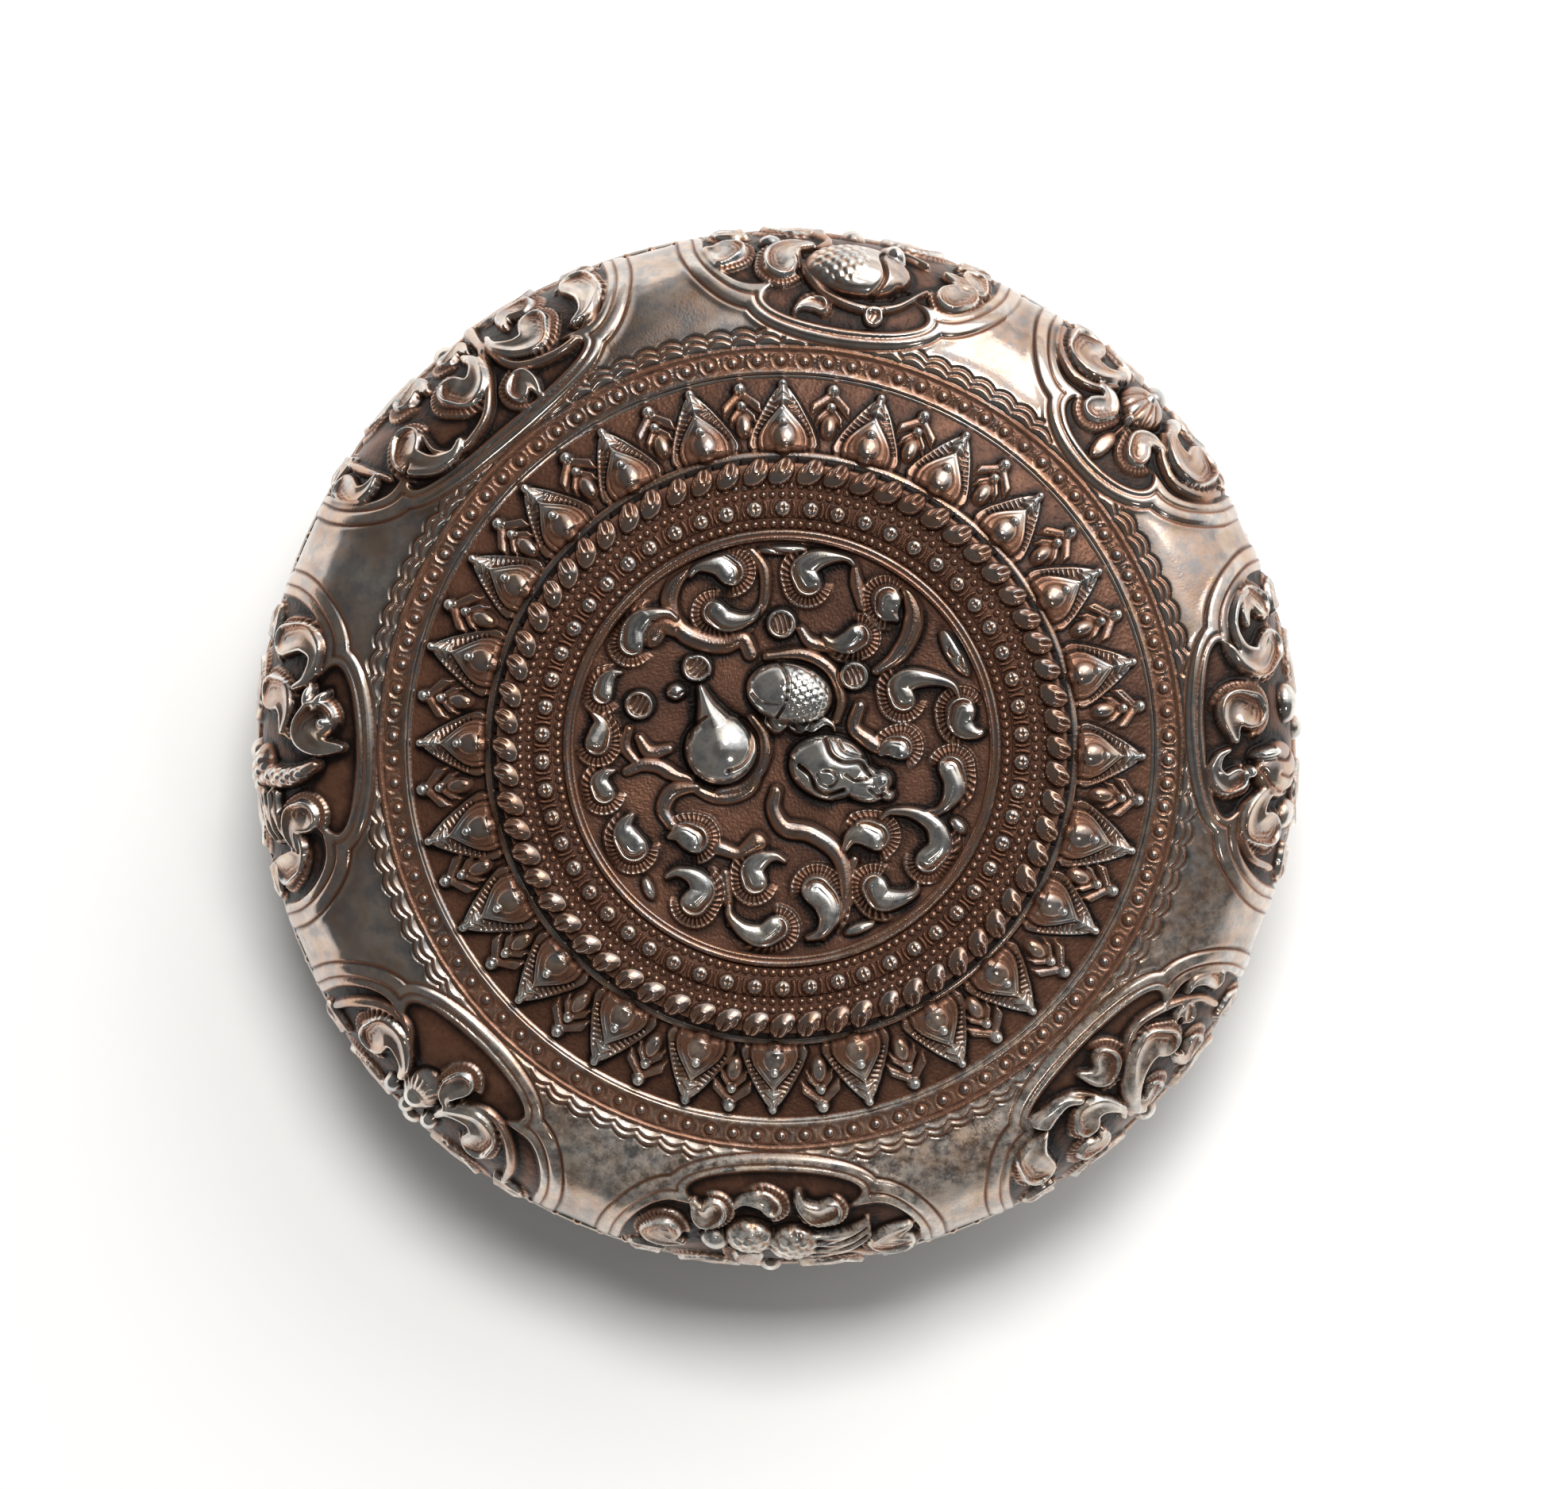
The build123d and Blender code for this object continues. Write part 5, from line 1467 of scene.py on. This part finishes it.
# Bowl
BOWL_COLUMNS = 360
FLOOR_STEPS = (0.02, 12, 28)
RIM_WIRE = 0.7


def base_ring(node, outline):
    """Plain turned piece of the base."""
    piece = turned_piece(f"{node}_worked", outline, BOWL_COLUMNS, PLAIN_SILVER)
    declare(piece, "base", node)


def square_ring(inner, outer, low, high, radius):
    """Outline of a ring with a rectangular section and rounded edges."""
    return rounded([(inner, low), (outer, low), (outer, high), (inner, high)], radius)


def bowl_corner(radius, steps):
    """Quarter circle from the bowl's floor up to its wall."""
    middle_r = BOWL_R - BOWL_CORNER
    middle_z = BOWL_FOOT + BOWL_CORNER
    return [(middle_r + radius * math.sin(t), middle_z - radius * math.cos(t)) for t in steps]


def make_bowl():
    steps = np.linspace(0, math.pi / 2, 18)
    inside = BOWL_R - SHEET
    outline = [(r, BOWL_FOOT) for r in FLOOR_STEPS] + bowl_corner(BOWL_CORNER, steps)
    outline += [(BOWL_R, SEAM - 0.15), (BOWL_R - 0.15, SEAM), (inside + 0.1, SEAM), (inside, SEAM - 0.1)]
    outline += bowl_corner(BOWL_CORNER - SHEET, steps[::-1]) + [(r, FLOOR) for r in FLOOR_STEPS[::-1]]
    base_ring("base_bowl", outline)
    base_ring("base_collar", square_ring(COLLAR_R - SHEET, COLLAR_R, COLLAR_LOW, COLLAR_HIGH, 0.3))
    steps = np.linspace(-math.pi / 2, math.pi / 2, 12)
    middle_z = SEAM - RIM_WIRE
    wire = [(BOWL_R + RIM_WIRE * math.cos(t), middle_z + RIM_WIRE * math.sin(t)) for t in steps]
    base_ring("base_rim_wire", wire)
    base_ring("foot_ring", square_ring(FOOT_R - FOOT_W, FOOT_R, 0, BOWL_FOOT, 0.4))


# Contents
PAD_PUCKERS = 36
ROLL_TURNS = 9
ROLL_SHEET = 0.3
ROLL_START = 0.9  # angle of the sheet's inner end
TUFTS = 6
TUFT_RING = 24.0
TUFT_DEEP = 1.7
WELT = 0.45
PAD_EDGE = PAD_R - 0.9  # where the pad turns under, inside its welt
PAD_LIES = FLOOR + 0.02


def pad_top(turn, pucker):
    """Crowned upper face, with tufts and slack, gathered at the seam."""
    share = np.linspace(0.004, 1, 46)[:, None]
    r = PAD_R * share * (1 - 0.012 * ramp(0.7, 1.0, share) * pucker)
    crown = (PAD_CROWN - PAD_SEAM) * (1 - share**2) ** 0.75
    z = FLOOR + PAD_SEAM + crown - 0.5 * ramp(0.72, 0.95, share) * pucker * (1 - share)
    for tuft in range(TUFTS):
        angle = 2 * math.pi * tuft / TUFTS + 0.26
        x_gap = r * np.sin(turn) - TUFT_RING * math.sin(angle)
        y_gap = r * np.cos(turn) - TUFT_RING * math.cos(angle)
        z = z - TUFT_DEEP * np.exp(-np.hypot(x_gap, y_gap) / 3.4)
    z = z - 0.12 * np.sin(7 * turn + 3 * share) * ramp(0.1, 0.6, share)
    return on_circle(r, z, turn + 0 * r)


def make_pad():
    """Stuffed silk pad: crowned top, puckered seam, tufts, and a flat patch where it lies on the floor."""
    turn = whole_turn(BOWL_COLUMNS)[None, :]
    pucker = 0.5 + 0.5 * np.cos(PAD_PUCKERS * turn + 0.6 * np.sin(5 * turn))
    welt = np.linspace(0.3, -math.pi / 2 + 0.5, 8)[:, None]
    r_welt = PAD_R - WELT + WELT * np.cos(welt) - 0.3 * pucker
    welt_ring = on_circle(r_welt, FLOOR + PAD_SEAM - 0.2 + WELT * np.sin(welt), turn + 0 * r_welt)
    share = np.linspace(0, 1, 10)[:, None]
    r_low = PAD_EDGE - PAD_TUCK * share**0.6 - 0.25 * pucker * (1 - share)
    under = on_circle(r_low, PAD_LIES + (PAD_SEAM - 0.5) * (1 - share) ** 2, turn + 0 * r_low)
    r_flat = np.linspace(PAD_EDGE - PAD_TUCK, 0.1, 8)[1:, None] + 0 * turn
    flat = on_circle(r_flat, PAD_LIES, turn + 0 * r_flat)
    grid = np.concatenate([pad_top(turn, pucker), welt_ring, under, flat])
    faces = ring_faces(grid.shape[0], BOWL_COLUMNS, False)[:, ::-1]
    pad = add_piece("lining_pad_sewn", grid.reshape(-1, 3), [faces], RED_SILK)
    declare(pad, "base", "lining_pad")


def make_roll():
    """Paper wound into a roll, its turns a little out of line at the ends."""
    steps = 96 * ROLL_TURNS
    share = np.linspace(0, 1, steps)[:, None]
    angle = 2 * math.pi * ROLL_TURNS * share + ROLL_START
    r = ROLL_BORE + ROLL_SHEET + (ROLL_R - ROLL_BORE - ROLL_SHEET) * share
    slip = 0.45 * np.sin(1.7 * angle) * np.sin(0.31 * angle) - 0.5
    end = ROLL_HALF + np.minimum(slip, 0)
    along = np.concatenate([[-1, -0.995], np.linspace(-0.9, 0.9, 13), [0.995, 1]])[None, :]
    bulge = 0.06 * np.sin(9 * along + angle)
    face = r + bulge - 0.1
    back = face - ROLL_SHEET
    x = np.concatenate([along * end, along[:, ::-1] * end], 1)
    radius = np.concatenate([face, back[:, ::-1]], 1)
    points = np.stack([x, radius * np.cos(angle), ROLL_Z + radius * np.sin(angle)], -1)
    columns = x.shape[1]
    sides = ring_faces(steps, columns, False)
    k = np.arange(columns // 2 - 1)
    first = np.stack([k, k + 1, columns - 2 - k, columns - 1 - k], -1)
    last = first[:, ::-1] + (steps - 1) * columns
    roll = add_piece("prayer_roll_wound", points.reshape(-1, 3), [sides[:, ::-1], first, last], PAPER)
    declare(roll, "base", "prayer_roll")


def tie_strip(angles, radius, x, half_width, thick):
    """Ribbon bent round the roll's axis: a grid of places with a rounded cross-section."""
    section = whole_turn(20)[None, :]
    fold = np.sign(np.cos(section)) * np.abs(np.cos(section)) ** 0.3
    lift = np.sign(np.sin(section)) * np.abs(np.sin(section)) ** 0.6
    r = radius + thick / 2 * (1 + lift) + 0 * angles
    across = x + half_width * fold + 0 * angles
    return np.stack([across, r * np.cos(angles), ROLL_Z + r * np.sin(angles)], -1)


def tie_end(middle, way):
    """Short free end of a tape, lying on the roll."""
    share = np.linspace(0, 1, 30)[:, None]
    bend = math.pi / 2 + way * (0.1 + 0.75 * share)
    shift = middle + way * 2.0 * share**1.5 + 0.3 * np.sin(6 * share)
    width = (TIE_HALF - 0.5) * (0.55 + 0.45 * ramp(0.0, 0.4, share)) * ramp(1.02, 0.97, share)
    return tie_strip(bend, ROLL_R + TIE_THICK + 0.05, shift, width, 0.4)


def tie_knot(middle):
    """Flat creased knot on top of the roll."""
    up_steps = np.linspace(0.02, math.pi - 0.02, 24)
    up, turn = np.meshgrid(up_steps, np.linspace(0, 2 * math.pi, 40), indexing="ij")
    crease = 1 + 0.1 * np.cos(4 * turn + 3 * up)
    x = middle + 1.7 * np.sin(up) * np.cos(turn) * crease
    y = 1.35 * np.sin(up) * np.sin(turn) * crease
    z = ROLL_Z + ROLL_R + TIE_THICK + 0.45 + 0.85 * np.cos(up) * crease
    return np.stack([x, y, z], -1)


def make_ties():
    """Silk tapes round the roll, each with a flat knot and two short ends on top."""
    points = []
    faces = []
    start = 0
    turn = whole_turn(120)[:, None]
    for side in (-1, 1):
        middle = side * TIE_X
        wave = 0.12 * np.sin(5 * turn + side)
        tape = tie_strip(turn, ROLL_R, middle + wave, TIE_HALF - 0.12, TIE_THICK)
        for grid in (tape, tie_end(middle, -1), tie_end(middle, 1), tie_knot(middle)):
            rows, columns = grid.shape[:2]
            points.append(grid.reshape(-1, 3))
            faces.append(ring_faces(rows, columns, grid is tape) + start)
            start += rows * columns
    ties = add_piece("roll_ties_knotted", np.concatenate(points), faces, GOLD_SILK)
    declare(ties, "base", "roll_ties")


make_shoulder()
make_petal_band()
make_drum()
make_bezel()
make_beads()
make_rim_beads()
make_medallion()
make_bowl()
make_pad()
make_roll()
make_ties()


# Floor, light and camera
FLOOR_GLOW = 0.03


def floor_material():
    """Pale floor, a little brighter as the camera sees it, also in metal or through glass."""
    material, tree, shader = new_material("studio_floor")
    path = tree.nodes.new("ShaderNodeLightPath").outputs
    seen = maths(tree, "MAXIMUM", path["Is Camera Ray"], path["Is Glossy Ray"])
    seen = maths(tree, "MAXIMUM", seen, path["Is Transmission Ray"])
    looks = {
        "Base Color": (0.92, 0.92, 0.92, 1),
        "Roughness": 0.9,
        "Specular IOR Level": 0.1,
        "Emission Color": (1, 1, 1, 1),
        "Emission Strength": mapped(tree, seen, 0.0, 1.0, 0.0, FLOOR_GLOW),
    }
    for name, value in looks.items():
        feed(tree, shader.inputs[name], value)
    return material


def make_floor():
    bpy.ops.mesh.primitive_plane_add(size=3.0, location=(0, 0, 0))
    floor = bpy.context.object
    floor.name = "studio_floor"
    floor.data.materials.append(floor_material())


# Lamps: name, place, width, watts and colour
LAMPS = (
    ("key_softbox", (0.0, 0.4, 1.2), 0.36, 12.4, (1, 0.985, 0.96)),
    ("back_softbox", (0.5, 0.7, 0.8), 0.7, 2.8, (1, 0.99, 0.98)),
    ("high_glint", (0.16, 0.26, 0.9), 0.08, 0.4, (1, 0.99, 0.97)),
    ("right_glint", (0.32, -0.34, 0.8), 0.08, 0.25, (1, 0.99, 0.97)),
)
LAMP_AIM = (0, 0, 0.03)
UNMIRRORED = "key_softbox"  # the lamp that the silver doesn't mirror


def area_light(name, place, size, power, colour):
    data = bpy.data.lights.new(name, "AREA")
    data.shape = "SQUARE"
    data.size = size
    data.energy = power
    data.color = colour
    light = bpy.data.objects.new(name, data)
    light.location = place
    light.rotation_mode = "QUATERNION"
    light.rotation_quaternion = (Vector(LAMP_AIM) - Vector(place)).to_track_quat("-Z", "Y")
    light.visible_glossy = name != UNMIRRORED
    bpy.context.scene.collection.objects.link(light)


# Brightness of the studio near the horizon, and half way up behind the box and elsewhere
LOW_LEVEL = 0.5
LOW_EAST = 0.36
LOW_NORTH = 0.2
MID_LEVEL = 0.09
MID_BRIGHT = 1.1
BRIGHT_EAST = 0.6  # way to the middle of the bright part
BRIGHT_NORTH = 0.8
BRIGHT_FROM = 0.58  # how far round to that middle the brightness starts, and is full
BRIGHT_FULL = 0.88
LOW_END = 0.06  # height in the sky where the horizon's brightness starts to fade, and is gone
MID_START = 0.26
TOP_START = 0.9  # height where it darkens overhead, and is darkest
TOP_FULL = 0.975
TOP_SHARE = 0.3
STUDIO_TINT = (1.0, 0.985, 0.97, 1)


def make_world():
    """Bright round the horizon, brighter on the right, and dark overhead, where the camera is."""
    world = bpy.data.worlds.new("studio")
    bpy.context.scene.world = world
    world.use_nodes = True
    tree = world.node_tree
    way = tree.nodes.new("ShaderNodeSeparateXYZ")
    feed(tree, way.inputs[0], tree.nodes.new("ShaderNodeTexCoord").outputs["Generated"])
    x, y, z = way.outputs

    def towards(east, north):
        return maths(tree, "ADD", maths(tree, "MULTIPLY", x, east), maths(tree, "MULTIPLY", y, north))

    level = maths(tree, "SQRT", maths(tree, "SUBTRACT", 1.0, maths(tree, "MULTIPLY", z, z)), 0.0)
    behind = maths(tree, "DIVIDE", towards(BRIGHT_EAST, BRIGHT_NORTH), level)
    middle = mapped(tree, behind, BRIGHT_FROM, BRIGHT_FULL, MID_LEVEL, MID_BRIGHT)
    middle = maths(tree, "MULTIPLY", middle, mapped(tree, z, TOP_START, TOP_FULL, 1.0, TOP_SHARE))
    low = maths(tree, "ADD", towards(LOW_EAST, LOW_NORTH), LOW_LEVEL)
    low = maths(tree, "MULTIPLY", low, mapped(tree, z, LOW_END, MID_START, 1.0, 0.0))
    middle = maths(tree, "MULTIPLY", middle, mapped(tree, z, LOW_END, MID_START, 0.0, 1.0))
    background = tree.nodes["Background"]
    feed(tree, background.inputs["Color"], STUDIO_TINT)
    feed(tree, background.inputs["Strength"], maths(tree, "ADD", low, middle))


def make_light():
    make_world()
    for lamp in LAMPS:
        area_light(*lamp)


CAMERA_HEIGHT = 0.9
CAMERA_LENS = 178.5
CAMERA_LEAN = math.radians(1.4)
CAMERA_AIM = (0.0008, 0.0004, 0.022)


def make_camera():
    data = bpy.data.cameras.new("photo_view")
    camera = bpy.data.objects.new("photo_view", data)
    bpy.context.scene.collection.objects.link(camera)
    bpy.context.scene.camera = camera
    data.lens = CAMERA_LENS
    data.sensor_width = 36
    data.clip_start = 0.05
    data.clip_end = 20
    x, y, z = CAMERA_AIM
    aside = CAMERA_HEIGHT * math.sin(CAMERA_LEAN)
    camera.location = (x - aside, y, CAMERA_HEIGHT * math.cos(CAMERA_LEAN) + z)
    camera.rotation_euler = (0, -CAMERA_LEAN, 0)


make_floor()
make_light()
make_camera()
bpy.context.scene.view_settings.view_transform = "Standard"
